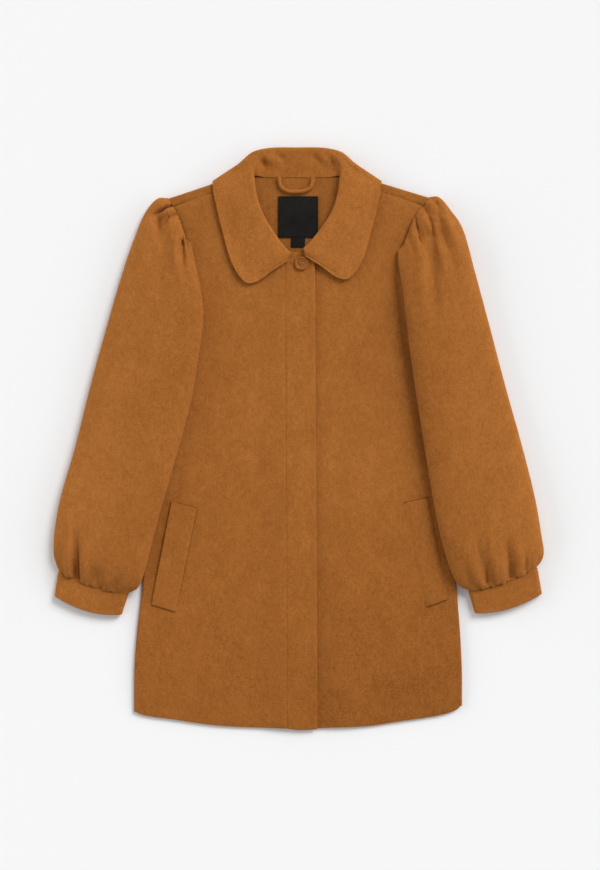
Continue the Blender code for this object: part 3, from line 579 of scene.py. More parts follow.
def side_ramp(side, point):
    """1 over the body, 0 beside it and a slope between."""
    return 1 - ease(point[:, 0] - side_line(side, point[:, 1]), *SIDE_RAMP)


def on_body(side, point):
    """How far a point of a sleeve is raised by the body under it; above the underarm always fully."""
    below = below_arm(point[:, 1])
    return side_ramp(side, point) * below + 1 - below


def unit(vector):
    """Vectors scaled to length one."""
    return vector / np.linalg.norm(vector, axis=-1, keepdims=True)


def creases(table, x, y):
    """Height of soft folds at points of the plan."""
    total = np.zeros_like(x)
    for deep_x, deep_y, fade_x, fade_y, width, height in table:
        run_x, run_y = fade_x - deep_x, fade_y - deep_y
        share = ((x - deep_x) * run_x + (y - deep_y) * run_y) / (run_x ** 2 + run_y ** 2)
        share = np.clip(share, 0.0, 1.0)
        apart = np.hypot(x - deep_x - share * run_x, y - deep_y - share * run_y)
        total += height * (1 - ease(share, 0.25, 1.0)) * np.exp(-(apart / width) ** 2)
    return total


def gathers(table, across, reach):
    """Depth of small gathers at a seam, reach counted in sections away from it."""
    total = np.zeros_like(across)
    for spot, width, depth, far in table:
        total -= depth * np.exp(-((across - spot) / width) ** 2) * (1 - ease(reach, 0.0, far))
    return total


def armhole_line(side):
    """Straight facets of the armhole, from the underarm to the shoulder seam and the tip."""
    fold, face = shoulder(side)
    share = np.linspace(0.0, 1.0, 400)
    depth = (fold[0] - along(ARMHOLE[side], share)) @ face
    seam = np.interp(-SHOULDER_STRIP - SEAM, -depth, share)
    return along(ARMHOLE[side], np.append(np.linspace(0.0, seam, ARMHOLE_STEPS + 1), 1.0))


def shoulder(side):
    """The fold of a shoulder and the way it faces."""
    fold = np.asarray(SHOULDER_FOLD[side], float)
    run = unit(fold[1] - fold[0])
    return fold, np.array([abs(run[1]), abs(run[0])])


def on_armhole(side, step):
    """A point of the armhole, counted in facets."""
    line = armhole_line(side)
    count = np.arange(len(line))
    return np.stack([np.interp(step, count, line[:, k]) for k in (0, 1)], axis=-1)


def side_roll(point, side, below, share, mid, way):
    """Bend the strip past the flat panel round the side edge, down (way -1) or up (way 1)."""
    radius = loft(point[:, 1]) / 2
    length = radius * math.pi / 2 - SIDE_SEAM
    bend = np.maximum(below, 0.001) / radius
    x = point[:, 0] + side * np.sin(bend * length * share) / bend
    z = mid + way * (1 - np.cos(bend * length * share)) / bend
    return np.stack([x, point[:, 1], z], axis=-1)


def side_inset(y, below):
    """How far the flat panel stops short of the side line, to leave room for its rolled edge."""
    radius = loft(y) / 2
    return (radius + CLOTH / 2) * below + (radius * math.pi / 2 - SIDE_SEAM) * (1 - below)


def front_place(side):
    """Surface of one front panel."""
    mid = right_front_mid if side == RIGHT else front_mid
    top_x, hem_x = FRONT_EDGE[side]
    fold, face = shoulder(side)
    seam = fold - face * (SHOULDER_STRIP + SEAM)
    seam[0] = on_armhole(side, ARMHOLE_STEPS)
    neck = FRONT_NECK[side][::-1][:-1] + [tuple(seam[1])]
    edge_line = [(hem_x, HEM[side][-1][1]), (top_x, neck[0][1])]

    def first(t):
        step = (t - UNDERARM_SHARE) / (1 - UNDERARM_SHARE) * ARMHOLE_STEPS
        low = along(SIDE[side], t / UNDERARM_SHARE)
        return np.where((t < UNDERARM_SHARE)[:, None], low, on_armhole(side, step))

    def place(u, v):
        flat = np.maximum(u, 0.0)
        point = patch(
            flat, v,
            lambda t: along(HEM[side], t),
            lambda t: along(seam, t),
            first,
            lambda t: chain(t, (NECK_SHARE, edge_line), (1.0, neck)))
        below = 1 - ease(v, UNDERARM_SHARE - ROLL_FADE, UNDERARM_SHARE)
        point[:, 0] -= side_inset(point[:, 1], below) * (1 - flat) ** 3
        point[:, 0] *= side
        height = mid(point[:, 0], point[:, 1])
        return side_roll(point, side, below, np.maximum(-u, 0.0), height, -1)

    return place


def back_place(u, v):
    """Surface of the back, with its sides rolled up and its shoulders wrapped over."""
    flat = np.clip(u, 0.0, 1.0)
    bend = BODY_LOFT / 2
    reach = math.pi * bend + SHOULDER_STRIP + 2 * SEAM - bend - CLOTH / 2
    edges, ends = {}, {}
    for side in (RIGHT, LEFT):
        fold, face = shoulder(side)
        axis = fold - face * (bend + CLOTH / 2)
        tip = on_armhole(side, ARMHOLE_STEPS + TIP_STEP)
        tip = tip - face * ((tip - axis[0]) @ face)
        strip = on_armhole(side, ARMHOLE_STEPS)
        strip = strip + face * (reach - (strip - axis[0]) @ face)
        ends[side] = (strip, axis[1] + face * reach)
        edges[side] = (axis, face, tip)
    mirror = np.array([-1.0, 1.0])
    hem = [(-x, y) for x, y in HEM[RIGHT][:-1]] + [HEM_MID] + HEM[LEFT][-2::-1]
    neck = [tuple(ends[RIGHT][1] * mirror)] + BACK_NECK + [tuple(ends[LEFT][1])]

    def edge(side):
        def line(t):
            step = (t - UNDERARM_SHARE) / (SHOULDER_SHARE - UNDERARM_SHARE) * ARMHOLE_STEPS
            out = np.where((t < UNDERARM_SHARE)[:, None], along(SIDE[side], t / UNDERARM_SHARE),
                           on_armhole(side, np.minimum(step, ARMHOLE_STEPS)))
            knots = (SHOULDER_SHARE, FOLD_SHARE, 1.0)
            corner = np.stack([on_armhole(side, ARMHOLE_STEPS), edges[side][2], ends[side][0]])
            over = np.stack([np.interp(t, knots, corner[:, k]) for k in (0, 1)], axis=-1)
            return np.where((t > SHOULDER_SHARE)[:, None], over, out) * np.array([side, 1.0])
        return line

    point = patch(
        flat, v,
        lambda t: along(hem, t),
        lambda t: chain(t, (BACK_NECK_FROM, [tuple(ends[RIGHT][0] * mirror), neck[0]]),
                        (BACK_NECK_TO, neck), (1.0, [neck[-1], tuple(ends[LEFT][0])])),
        edge(RIGHT), edge(LEFT))
    side = np.where(u < 0.5, RIGHT, LEFT)
    below = 1 - ease(v, UNDERARM_SHARE - ROLL_FADE, UNDERARM_SHARE)
    point[:, 0] -= side * side_inset(point[:, 1], below) * np.abs(2 * flat - 1) ** 7
    share = np.maximum(-u, 0.0) + np.maximum(u - 1.0, 0.0)
    out = side_roll(point, side, below, share, back_mid(point[:, 0], point[:, 1]), 1)
    for which in (RIGHT, LEFT):
        axis, face, _ = edges[which]
        local = out[:, :2] * np.array([which, 1.0])
        past = np.where((side == which) & (v > 0.9), (local - axis[0]) @ face, -1.0)
        over = past > 0
        angle = np.clip(past / bend, 0.0, math.pi)
        back = np.maximum(past - math.pi * bend, 0.0)
        local = local + face * (bend * np.sin(angle) - back - past)[:, None]
        out[over, :2] = (local * np.array([which, 1.0]))[over]
        out[over, 2] = (back_mid(out[:, 0], out[:, 1]) + bend * (1 - np.cos(angle)))[over]
    return out


def placket_place(u, v):
    """Surface of the fly band, lying on the left front."""
    left = PLACKET_HEM[0] + (PLACKET_TOP[0] - PLACKET_HEM[0]) * v
    right = PLACKET_HEM[1] + (PLACKET_TOP[1] - PLACKET_HEM[1]) * v
    x = left + (right - left) * u
    low = PLACKET_HEM[2] + PLACKET_HEM_ROUND * np.abs(2 * u - 1) ** 2
    y = low + (PLACKET_TOP[2] - low) * v
    z = front_mid(x, y) + CLOTH / 2 + SEAM + PLACKET_CLOTH / 2
    return np.stack([x, y, z], axis=-1)


def collar_place(u, v):
    """Surface of the collar: u along it from right end to left end, v from neck to outer edge."""
    side = np.where(u < 0, -1.0, 1.0)
    count = np.abs(u) * (len(COLLAR) - 1)
    (neck_x, neck_y, neck_z, roll_x, roll_y, roll_z, roll_r, edge_x, edge_y,
     fold_x, fold_y, face, bend) = through(COLLAR, count).T
    tilt = side * COLLAR_TILT * ease(count, *COLLAR_TILT_FROM)
    neck = np.stack([neck_x, neck_y + tilt], axis=-1)
    roll = np.stack([roll_x, roll_y + tilt], axis=-1)
    edge = np.stack([edge_x, edge_y + tilt], axis=-1)
    way = unit(edge - roll)
    turn = np.stack([-way[:, 1], way[:, 0]], axis=-1)

    # The stand: straight from the neck to the roll it touches, then round the roll to its top
    from_x = np.sum((neck - roll) * way, axis=1)
    from_z = neck_z - (roll_z - roll_r)
    apart = np.maximum(np.hypot(from_x, from_z), roll_r * 1.02)
    touch = np.arctan2(from_z, from_x) - np.arccos(roll_r / apart)
    touch = np.mod(touch - math.pi / 2, 2 * math.pi) + math.pi / 2
    straight = np.sqrt(apart ** 2 - roll_r ** 2)
    total = straight + roll_r * (touch - math.pi / 2)
    gone = np.clip(v, 0.0, 1.0) * total
    share = np.minimum(gone / straight, 1.0)
    angle = touch - np.maximum(gone - straight, 0.0) / roll_r
    x = np.where(share < 1, from_x + (roll_r * np.cos(touch) - from_x) * share, roll_r * np.cos(angle))
    z = np.where(share < 1, from_z + (roll_r * np.sin(touch) - from_z) * share, roll_r * np.sin(angle))
    aside = np.sum((neck - roll) * turn, axis=1) * (1 - np.clip(v, 0.0, 1.0))
    stand = np.column_stack([roll + way * x[:, None] + turn * aside[:, None], z + roll_z - roll_r])

    # The leaf: drawn flat from the roll to its edge, then folded under past the fold line
    s = np.clip(v - 1.0, 0.0, 1.0)
    spot = roll + (edge - roll) * s[:, None]
    front = ease(count, *COLLAR_FRONT_FROM)
    low = COLLAR_CLOTH / 2
    ground = collar_ground(spot[:, 0] * side + COLLAR_MID, spot[:, 1])
    rest = (low + 2 * bend) * (1 - front) + front * (ground + SEAM + low + COLLAR_REST)
    facing = np.stack([np.cos(np.radians(face)), np.sin(np.radians(face))], axis=-1)
    axis = np.stack([fold_x, fold_y], axis=-1)
    past = np.sum((spot - axis) * facing, axis=1)
    full = np.sum((edge - axis) * facing, axis=1)
    start = np.sum((roll - axis) * facing, axis=1)
    span = np.where(full > 0.5, np.maximum(-start, 0.5) / np.maximum(full - start, 1.0), 1.0)
    top = rest + (roll_z - rest) * (1 - ease(s / span, 0.0, 1.0))
    angle = np.clip(past / bend, 0.0, math.pi)
    back = np.maximum(past - math.pi * bend, 0.0)
    spot = spot + facing * np.where(past > 0, bend * np.sin(angle) - back - past, 0.0)[:, None]
    under = rest - (rest - low) * (1 - np.cos(angle)) / 2
    leaf = np.column_stack([spot, np.where(past > 0, under, top)])
    out = np.where(v[:, None] <= 1.0, stand, leaf)
    out[:, 0] = out[:, 0] * side + COLLAR_MID
    return out


def sleeve_place(side):
    """Surface of a sleeve: u round it from the back seam to the front seam, v from cap to wrist."""
    table = SLEEVE[side]
    first = np.asarray(table[0], float)
    line = armhole_line(side)
    tip = len(line) - 1.0
    low = float(np.interp(first[3], line[:, 1], np.arange(len(line))))

    def plan(across, row):
        """Point of a section in plan, the first one on the armhole seam."""
        section = through(table, row)
        point = section[:, 0:2] + (section[:, 2:4] - section[:, 0:2]) * across[:, None]
        seam = on_armhole(side, tip + (low - tip) * across)
        seam[:, 0] -= 2 * SEAM
        chord = first[0:2] + (first[2:4] - first[0:2]) * across[:, None]
        point = point + (seam - chord) * (1 - ease(row, *CAP_BLEND))[:, None]
        point[:, 0] -= CAP_HOOK * ease(across, 0.9, 1.0) * (1 - ease(row, *HOOK_FADE))
        point[:, 1] -= WRIST_SAG * 4 * across * (1 - across) * ease(row, *SAG_FROM)
        return point, section

    def cut_share(row):
        """Where across a section its underside is cut along the edge of the body."""
        share = np.empty_like(row)
        for k in np.unique(row):
            allowed = CUT_TRIES > CUT_FROM - CUT_FALL * k
            point, _ = plan(CUT_TRIES, np.full_like(CUT_TRIES, k))
            corner = np.exp(-((point[:, 1] - SIDE[side][-1][1]) / CORNER_REACH) ** 2)
            out = UNDERARM_OUT * below_arm(point[:, 1]) + UNDERARM_GAP + CORNER_ROOM * corner
            room = side_line(side, point[:, 1]) + out - point[:, 0]
            room[~allowed] = -1.0
            hits = np.nonzero(room >= 0)[0]
            last = hits[0] if len(hits) else len(CUT_TRIES) - 1
            share[row == k] = CUT_TRIES[last]
            if 0 < last and allowed[last - 1] and room[last - 1] > CUT_JUMP and room[last] > 0:
                part = room[last] / (room[last] - room[last - 1])
                share[row == k] -= part * (CUT_TRIES[last] - CUT_TRIES[last - 1])
        return share

    def place(u, v):
        section = through(table, v)
        edge, crown = section[:, 4], section[:, 5]
        width = np.linalg.norm(section[:, 2:4] - section[:, 0:2], axis=1)
        cut = cut_share(v)
        half_gap = 2 * SEAM / width
        under_out, top = u <= 1.0, (u > 1.0) & (u < 2.0)
        quarter = math.pi / 2
        across = np.where(
            under_out, (cut - half_gap) * (1 - np.sin(quarter * np.clip(u, 0, 1))),
            np.where(top, (1 - np.cos(math.pi * (u - 1.0))) / 2,
                     1 - (1 - cut - half_gap) * (1 - np.cos(quarter * np.clip(u - 2.0, 0, 1)))))
        point, _ = plan(across, v)
        ripple = sum(h * np.sin(a * across + b * side + c) for h, a, b, c in PUCKER_WAVES)
        upper = np.sin(math.pi * np.clip(u - 1.0, 0.0, 1.0))
        puckered = ease(v, *PUCKER_FROM) * np.minimum(1.0, 3.0 * upper)
        point[:, 1] += PUCKER * (ripple - PUCKER_BACK) * puckered
        floor = CLOTH / 2
        raised, sunk = INNER_LIFT[side]
        rest = SLEEVE_REST + raised * hump(v, *RAISED_RUN) - sunk * hump(v, *SUNK_RUN)
        outer_low = floor + SLEEVE_REST * side_ramp(side, point) * below_arm(point[:, 1])
        inner_low = floor + rest * on_body(side, point)
        outer_run = np.clip(1 - across * width / edge, 0.0, 1.0)
        inner_run = np.clip(1 - (1 - across) * width / edge, 0.0, 1.0)
        outer_z = outer_low + edge * (1 - np.sqrt(1 - outer_run ** 2))
        inner_z = inner_low + edge * (1 - np.sqrt(1 - inner_run ** 2))
        inner_end, _ = plan(np.ones_like(v), v)
        rise = rest * on_body(side, inner_end)
        edge_line = floor + edge + rise * ease(across, *RISE_ACROSS)
        arch = upper ** ARCH_POWER
        fold = np.zeros_like(v)
        for spot, spread, height, start, full, end in GATHERS[side]:
            fold += height * hump(v, start, full, full, end) * np.exp(-((across - spot) / spread) ** 2)
        fold += creases(CAP_CREASES[side], point[:, 0], point[:, 1])
        fold += creases(WRIST_CREASES[side], point[:, 0], point[:, 1])
        fold += gathers(CAP_GATHERS, across, v) + gathers(WRIST_GATHERS, across, LAST_SECTION - v)
        top_z = np.maximum(edge_line + crown * arch + fold * np.minimum(1.0, FOLD_FILL * arch), floor)
        z = np.where(under_out, outer_z, np.where(top, top_z, inner_z))
        return np.stack([point[:, 0] * side, point[:, 1], z], axis=-1)

    return place


def cuff_place(side):
    """Surface of a cuff band: u round it, v from the wrist seam to its open end."""
    def place(u, v):
        section = through(CUFF[side], v)
        outer, inner, sag = section[:, 0:2], section[:, 2:4], section[:, 4]
        across = (1 - np.cos(2 * math.pi * u)) / 2
        point = outer + (inner - outer) * across[:, None]
        point[:, 1] -= sag * 4 * across * (1 - across)
        width = np.linalg.norm(inner - outer, axis=1)
        run = np.clip(1 - np.minimum(across, 1 - across) * width / CUFF_EDGE, 0.0, 1.0)
        low = CUFF_CLOTH / 2 + CUFF_EDGE * (1 - np.sqrt(1 - run ** 2))
        high = CUFF_CLOTH / 2 + CUFF_EDGE + CUFF_CROWN * np.sqrt(np.maximum(1 - run ** 2, 0.0))
        z = np.where(u <= 0.5, high, low)
        return np.stack([point[:, 0] * side, point[:, 1], z], axis=-1)
    return place


def welt_place(side):
    """Surface of a pocket welt, lying on its front."""
    corner = np.asarray(WELT[side], float)

    def place(u, v):
        a, b = u[:, None], v[:, None]
        point = ((1 - a) * (1 - b) * corner[3] + a * (1 - b) * corner[2]
                 + a * b * corner[1] + (1 - a) * b * corner[0])
        x = point[:, 0] * side
        z = front_mid(x, point[:, 1]) + CLOTH / 2 + SEAM + WELT_CLOTH / 2
        return np.stack([x, point[:, 1], z], axis=-1)
    return place


def label_place(left, right, low, high):
    """Surface of a label lying on the inside of the back."""
    def place(u, v):
        x = left + (right - left) * u
        y = low + (high - low) * v
        z = back_mid(x, y) + CLOTH / 2 + 2 * SEAM + LABEL_CLOTH / 2
        return np.stack([x, y, z], axis=-1)
    return place


def points_of(columns, rows, place):
    """Grid of points of a surface, shaped rows by columns by three."""
    u, v = np.meshgrid(columns, rows)
    return place(u.ravel(), v.ravel()).reshape(len(rows), len(columns), 3)


def steps(*stretches):
    """Places along a sheet, from stretches of (start, end, number of places) that meet."""
    return np.concatenate([np.linspace(*stretches[0])] + [np.linspace(*one)[1:] for one in stretches[1:]])


def turn_in(grid, edge, depth, width, where=1.0):
    """Sink the cloth at a sewn edge of a grid: low, high (rows), first or last (columns)."""
    axis = 0 if edge in ("low", "high") else 1
    gaps = np.linalg.norm(np.diff(grid, axis=axis), axis=2)
    start = np.zeros_like(np.take(gaps, [0], axis=axis))
    run = np.concatenate([start, np.cumsum(gaps, axis=axis)], axis=axis)
    if edge in ("high", "last"):
        run = np.take(run, [-1], axis=axis) - run
    grid[..., 2] -= depth * np.exp(-(run / width) ** 2) * where


def linked(name, data):
    """A new object in the scene."""
    thing = bpy.data.objects.new(name, data)
    bpy.context.scene.collection.objects.link(thing)
    return thing


def dress(thing, node=None):
    """Tie a piece to the coat's one body, and hide the solid it stands for."""
    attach(thing, "root")
    if node:
        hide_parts(node)
    return thing


def cloth_piece(name, grid, wall, look, closed=False, edge=0.4):
    """A sheet of cloth on a grid of points, with a wall and edges softened by a share of it."""
    rows, columns = grid.shape[:2]
    across = columns - 1 if closed else columns
    spots = grid[:, :across].reshape(-1, 3) * MM
    index = np.arange(rows * across).reshape(rows, across)
    if closed:
        index = np.concatenate([index, index[:, :1]], axis=1)
    quads = np.stack([index[:-1, :-1], index[:-1, 1:], index[1:, 1:], index[1:, :-1]], axis=-1)
    mesh = bpy.data.meshes.new(name)
    mesh.from_pydata(spots.tolist(), [], quads.reshape(-1, 4).tolist())
    mesh.shade_smooth()
    mesh.materials.append(look)
    thing = linked("look_" + name, mesh)
    shell = thing.modifiers.new("wall", "SOLIDIFY")
    shell.thickness = wall * MM
    shell.offset = 0.0
    shell.use_quality_normals = True
    soft = thing.modifiers.new("soft_edge", "BEVEL")
    soft.width = edge * wall * MM
    soft.segments = 3
    soft.limit_method = "ANGLE"
    soft.angle_limit = math.radians(50)
    dress(thing, name)
    return thing


def thread(name, lines, radius, look):
    """Sewing thread along short lines, as round strands."""
    curve = bpy.data.curves.new(name, "CURVE")
    curve.dimensions = "3D"
    curve.bevel_depth = radius * MM
    curve.bevel_resolution = 2
    curve.use_fill_caps = True
    for line in lines:
        strand = curve.splines.new("POLY")
        strand.points.add(len(line) - 1)
        for spot, (x, y, z) in zip(strand.points, line):
            spot.co = (x * MM, y * MM, z * MM, 1.0)
    curve.materials.append(look)
    return dress(linked("look_" + name, curve))


def stitches(start, end, pitch, rise):
    """Short arched stitches along a straight line in space."""
    start, end = np.asarray(start, float), np.asarray(end, float)
    count = max(1, int(round(np.linalg.norm(end - start) / pitch)))
    lines = []
    for k in range(count):
        share = (k + np.array([0.12, 0.3, 0.5, 0.7, 0.88])) / count
        line = start + (end - start) * share[:, None]
        line[:, 2] += rise * np.array([0.0, 0.8, 1.0, 0.8, 0.0])
        lines.append(line)
    return lines


class Nodes:
    """Short way to write a material's nodes."""

    def __init__(self, name):
        self.material = bpy.data.materials.new(name)
        self.material.use_nodes = True
        self.tree = self.material.node_tree
        self.shader = self.tree.nodes["Principled BSDF"]
        self.place = self.add("ShaderNodeTexCoord").outputs["Object"]

    def add(self, kind, **values):
        """A new node with constants set on its sockets."""
        node = self.tree.nodes.new(kind)
        for key, value in values.items():
            node.inputs[key].default_value = value
        return node

    def join(self, source, target):
        self.tree.links.new(source, target)

    def stretched(self, scale=(1.0, 1.0, 1.0), turn=0.0):
        """Coordinates in metres, scaled and turned about Z."""
        node = self.add("ShaderNodeMapping", Rotation=(0.0, 0.0, turn), Scale=scale)
        self.join(self.place, node.inputs["Vector"])
        return node.outputs["Vector"]

    def noise(self, where, scale, detail=2.0, rough=0.55):
        node = self.add("ShaderNodeTexNoise", Scale=scale, Detail=detail, Roughness=rough)
        self.join(where, node.inputs["Vector"])
        return node.outputs["Fac"]

    def ranged(self, value, low=0.3, high=0.7, to_low=0.0, to_high=1.0):
        """A value moved from one range to another; the first one is noise's usual range."""
        node = self.add("ShaderNodeMapRange")
        for slot, number in zip((1, 2, 3, 4), (low, high, to_low, to_high)):
            node.inputs[slot].default_value = number
        self.join(value, node.inputs[0])
        return node.outputs[0]

    def swing(self, where, scale, detail, half, reach, rough=0.55):
        """Noise within half of its middle value, as a change of tone by up to reach either way."""
        return self.ranged(self.noise(where, scale, detail, rough), 0.5 - half, 0.5 + half, -reach, reach)

    def plus(self, first, *others):
        for other in others:
            node = self.add("ShaderNodeMath")
            node.operation = "ADD"
            self.join(first, node.inputs[0])
            self.join(other, node.inputs[1])
            first = node.outputs[0]
        return first

    def colour(self, value, mid, dark, light):
        """Base colour with a value from 0 to 1, dark and light as shares of the middle colour."""
        mid = np.array(mid)
        node = self.add("ShaderNodeValToRGB")
        ramp = node.color_ramp
        ramp.elements[0].color = (*(mid * dark), 1.0)
        ramp.elements[1].color = (*(mid * light), 1.0)
        ramp.elements.new(0.5).color = (*mid, 1.0)
        self.join(value, node.inputs[0])
        self.join(node.outputs[0], self.shader.inputs["Base Color"])

    def roughness(self, value):
        self.join(value, self.shader.inputs["Roughness"])

    def bump(self, height, strength, distance):
        node = self.add("ShaderNodeBump", Strength=strength, Distance=distance)
        self.join(height, node.inputs["Height"])
        self.join(node.outputs["Normal"], self.shader.inputs["Normal"])

    def settings(self, **values):
        for key, value in values.items():
            self.shader.inputs[key.replace("_", " ")].default_value = value


def wool(name, turn, tone, painted_light_shade=None):
    """Brushed wool with its nap along Y turned by an angle; tone scales its colour.

    The last argument is an angle, two places along that way in metres, and how much lighter or darker the
    colour is painted there, as painted light and shade.
    """
    look = Nodes(name)
    even = look.stretched()
    napped = look.stretched((1.0, 0.28, 1.0), turn)
    brushed = look.stretched((1.0, 0.6, 1.0), turn)
    cloud = look.swing(even, 13.0, 2.0, 0.18, 0.09)
    blotch = look.swing(brushed, 60.0, 3.0, 0.20, 0.13)
    mottle = look.swing(brushed, 230.0, 3.0, 0.22, 0.24)
    grain = look.swing(even, 560.0, 2.0, 0.20, 0.34)
    fibre = look.swing(napped, 1500.0, 4.0, 0.20, 0.30, 0.7)
    total = look.plus(cloud, blotch, mottle, grain, fibre)
    # Painted light and shade: the colour is made lighter or darker along one way across the piece.
    if painted_light_shade:
        angle, *ends = painted_light_shade
        apart = look.add("ShaderNodeSeparateXYZ")
        look.join(look.stretched(turn=angle), apart.inputs[0])
        total = look.plus(total, look.ranged(apart.outputs["X"], *ends))
    value = look.ranged(total, -1.0, 1.0)
    look.colour(value, np.array(WOOL) * tone, WOOL_DARK, WOOL_LIGHT)
    look.roughness(look.ranged(value, 0.2, 0.8, 0.98, 0.84))
    look.settings(Specular_IOR_Level=0.03, Sheen_Weight=0.22, Sheen_Roughness=0.4, Sheen_Tint=WOOL_SHEEN)
    look.bump(look.plus(grain, fibre, mottle), 0.55, 0.0007)
    return look.material


def satin(name):
    """Smooth woven black satin with a fine cross weave."""
    look = Nodes(name)
    weft = look.noise(look.stretched((0.35, 3.0, 1.0)), 900.0)
    warp = look.noise(look.stretched((3.0, 0.35, 1.0)), 900.0)
    soft = look.noise(look.stretched(), 60.0)
    weave = look.plus(weft, warp)
    look.colour(look.ranged(look.plus(weave, soft), 1.1, 1.9), SATIN, 0.7, 1.5)
    look.roughness(look.ranged(soft, to_low=0.50, to_high=0.66))
    look.settings(Specular_IOR_Level=0.10)
    look.bump(weave, 0.4, 0.0003)
    return look.material


def horn(name):
    """Satin button resin with a faint swirl."""
    look = Nodes(name)
    swirl = look.noise(look.stretched((1.0, 2.2, 1.0), 0.6), 210.0, 4.0)
    look.colour(look.ranged(swirl), HORN, 0.72, 1.3)
    look.roughness(look.ranged(swirl, to_low=0.34, to_high=0.48))
    look.settings(Specular_IOR_Level=0.12)
    look.bump(look.noise(look.stretched(), 1600.0), 0.12, 0.0002)
    return look.material


def cotton(name, colour):
    """Sewing thread with a twist."""
    look = Nodes(name)
    twist = look.noise(look.stretched(), 2600.0)
    look.colour(look.ranged(twist), colour, 0.7, 1.3)
    look.settings(Roughness=0.8, Specular_IOR_Level=0.2)
    look.bump(twist, 0.3, 0.0002)
    return look.material


def paper(name):
    """Pale seamless backdrop with a faint tooth."""
    look = Nodes(name)
    look.colour(look.ranged(look.noise(look.stretched(), 800.0)), FLOOR, 0.995, 1.003)
    look.settings(Roughness=0.95, Specular_IOR_Level=0.1)
    return look.material


# Colours, linear; wool's dark and light are shares of it
WOOL = (0.361, 0.1268, 0.0260)
WOOL_DARK = (0.60, 0.55, 0.48)
WOOL_LIGHT = (1.42, 1.50, 1.70)
WOOL_SHEEN = (1.0, 0.69, 0.36, 1.0)
SATIN = (0.0108, 0.0100, 0.0085)
HORN = (0.285, 0.092, 0.0165)
FLOOR = (0.90, 0.90, 0.90)

UP_BODY = math.radians(-90)
LEAN = math.radians(12)
# Painted shade: wool_body darkens towards the hem below the waist, and wool_left, on the left front and its
# welt, darkens more.
wool_body = wool("wool_body", 0.0, 1.0, (UP_BODY, -0.42, -0.02, -0.36, 0.0))
wool_left = wool("wool_left", 0.0, 1.0, (UP_BODY, -0.42, -0.05, -0.54, 0.0))
wool_front = {RIGHT: wool_body, LEFT: wool_left}
# Painted shade: the back's wool, whose inside shows round the neck, is toned down to 0.93 for the shade
# under the collar.
wool_inside = wool("wool_inside", 0.05, 0.93)
# Painted light and shade: the collar is toned up to 1.10 as painted light for its sloping leaves. From y
# 0.385 m up to 0.402 m and above it is painted darker, as painted shade over the stand inside the neck.
wool_collar = wool("wool_collar", 0.0, 1.10, (UP_BODY, 0.385, 0.402, 0.0, -0.24))
# Painted light and shade: each sleeve and its cuff is lighter on its outer side and darker on its inner
# side.
wool_sleeve = {
    RIGHT: wool("wool_sleeve_right", LEAN, 1.0, (LEAN, -0.345, -0.19, 0.20, -0.14)),
    LEFT: wool("wool_sleeve_left", -LEAN, 1.0, (-LEAN, 0.19, 0.345, -0.20, 0.12)),
}
black = satin("label_satin")
resin = horn("button_resin")
tan_thread = cotton("tan_thread", (0.40, 0.18, 0.055))
dark_thread = cotton("dark_thread", (0.085, 0.027, 0.006))
black_thread = cotton("black_thread", (0.012, 0.012, 0.012))

SIDES = ((RIGHT, "right"), (LEFT, "left"))

# Body
BACK_U = steps((-1, 0, 8), (0, 0.30, 34), (0.30, 0.70, 50), (0.70, 1, 34), (1, 2, 8))
BACK_V = steps((0, 0.56, 70), (0.56, 0.72, 27), (0.72, 0.93, 55), (0.93, 1, 36))
FRONT_U = steps((-1, 0, 8), (0, 1, 91))
FRONT_V = steps((0, 0.56, 90), (0.56, 0.72, 31), (0.72, 1, 82))

back = points_of(BACK_U, BACK_V, back_place)
waves = np.maximum(creases(BACK_CREASES, back[..., 0], back[..., 1]), 0.0)
back[..., 2] += waves * BACK_WAVE * (1 - ease(BACK_V, *BACK_WAVE_FADE))[:, None]
shoulders = (1 - ease(np.minimum(BACK_U, 1 - BACK_U), *SHOULDER_ACROSS))[None, :]
turn_in(back, "high", *SHOULDER_SEAM, shoulders)
cloth_piece("back", back, CLOTH, wool_inside)

for side, name in SIDES:
    grid = points_of(FRONT_U, FRONT_V, front_place(side))
    inner = ease(FRONT_U, *FRONT_FOLD_FROM)[None, :] * (1 - ease(FRONT_V, *FRONT_FOLD_FADE))[:, None]
    grid[..., 2] += creases(FRONT_CREASES, grid[..., 0], grid[..., 1]) * inner
    turn_in(grid, "high", *SHOULDER_SEAM)
    turn_in(grid, "first", *ARMHOLE_SEAM, ease(FRONT_V, *ARMHOLE_SEAM_FROM)[:, None])
    if side == RIGHT:
        turn_in(grid, "last", *FLY_SEAM, (1 - ease(FRONT_V, *FLY_SEAM_FADE))[:, None])
    cloth_piece("front_" + name, grid, CLOTH, wool_front[side])

band = points_of(steps((0, 1, 33)), steps((0, 1, 200)), placket_place)
turn_in(band, "first", *BAND_SEAM)
turn_in(band, "last", -PLACKET_GAPE, PLACKET_GAPE_WIDTH)
cloth_piece("placket", band, PLACKET_CLOTH, wool_body)

# Collar
COLLAR_ROWS = len(COLLAR) - 1
HALF = steps((0, 3, 40), (3, 4.4, 40), (4.4, COLLAR_ROWS, 56)) / COLLAR_ROWS
COLLAR_U = np.concatenate([-HALF[:0:-1], HALF])
COLLAR_V = steps((0, 1, 25), (1, 1.75, 34), (1.75, 2, 20))
collar = points_of(COLLAR_U, COLLAR_V, collar_place)
row = np.abs(COLLAR_U)[None, :] * COLLAR_ROWS
down = COLLAR_V[:, None]
stand = hump(down, *STAND_UP) * (1 - ease(row, *STAND_ROWS))
collar[..., 2] += creases(STAND_CREASES, collar[..., 0], collar[..., 1]) * stand
front_leaf = ease(row, *LEAF_ROWS)
leaf_folds = np.maximum(creases(LEAF_CREASES, collar[..., 0], collar[..., 1]), LEAF_LOWEST)
collar[..., 2] += leaf_folds * ease(down, *LEAF_OUT) * front_leaf
edge_lift = np.where(COLLAR_U < 0, LEAF_LIFT[RIGHT], LEAF_LIFT[LEFT])[None, :]
collar[..., 2] += edge_lift * front_leaf * ease(down, *LEAF_EDGE)
cloth_piece("collar", collar, COLLAR_CLOTH, wool_collar,
            edge=0.45)

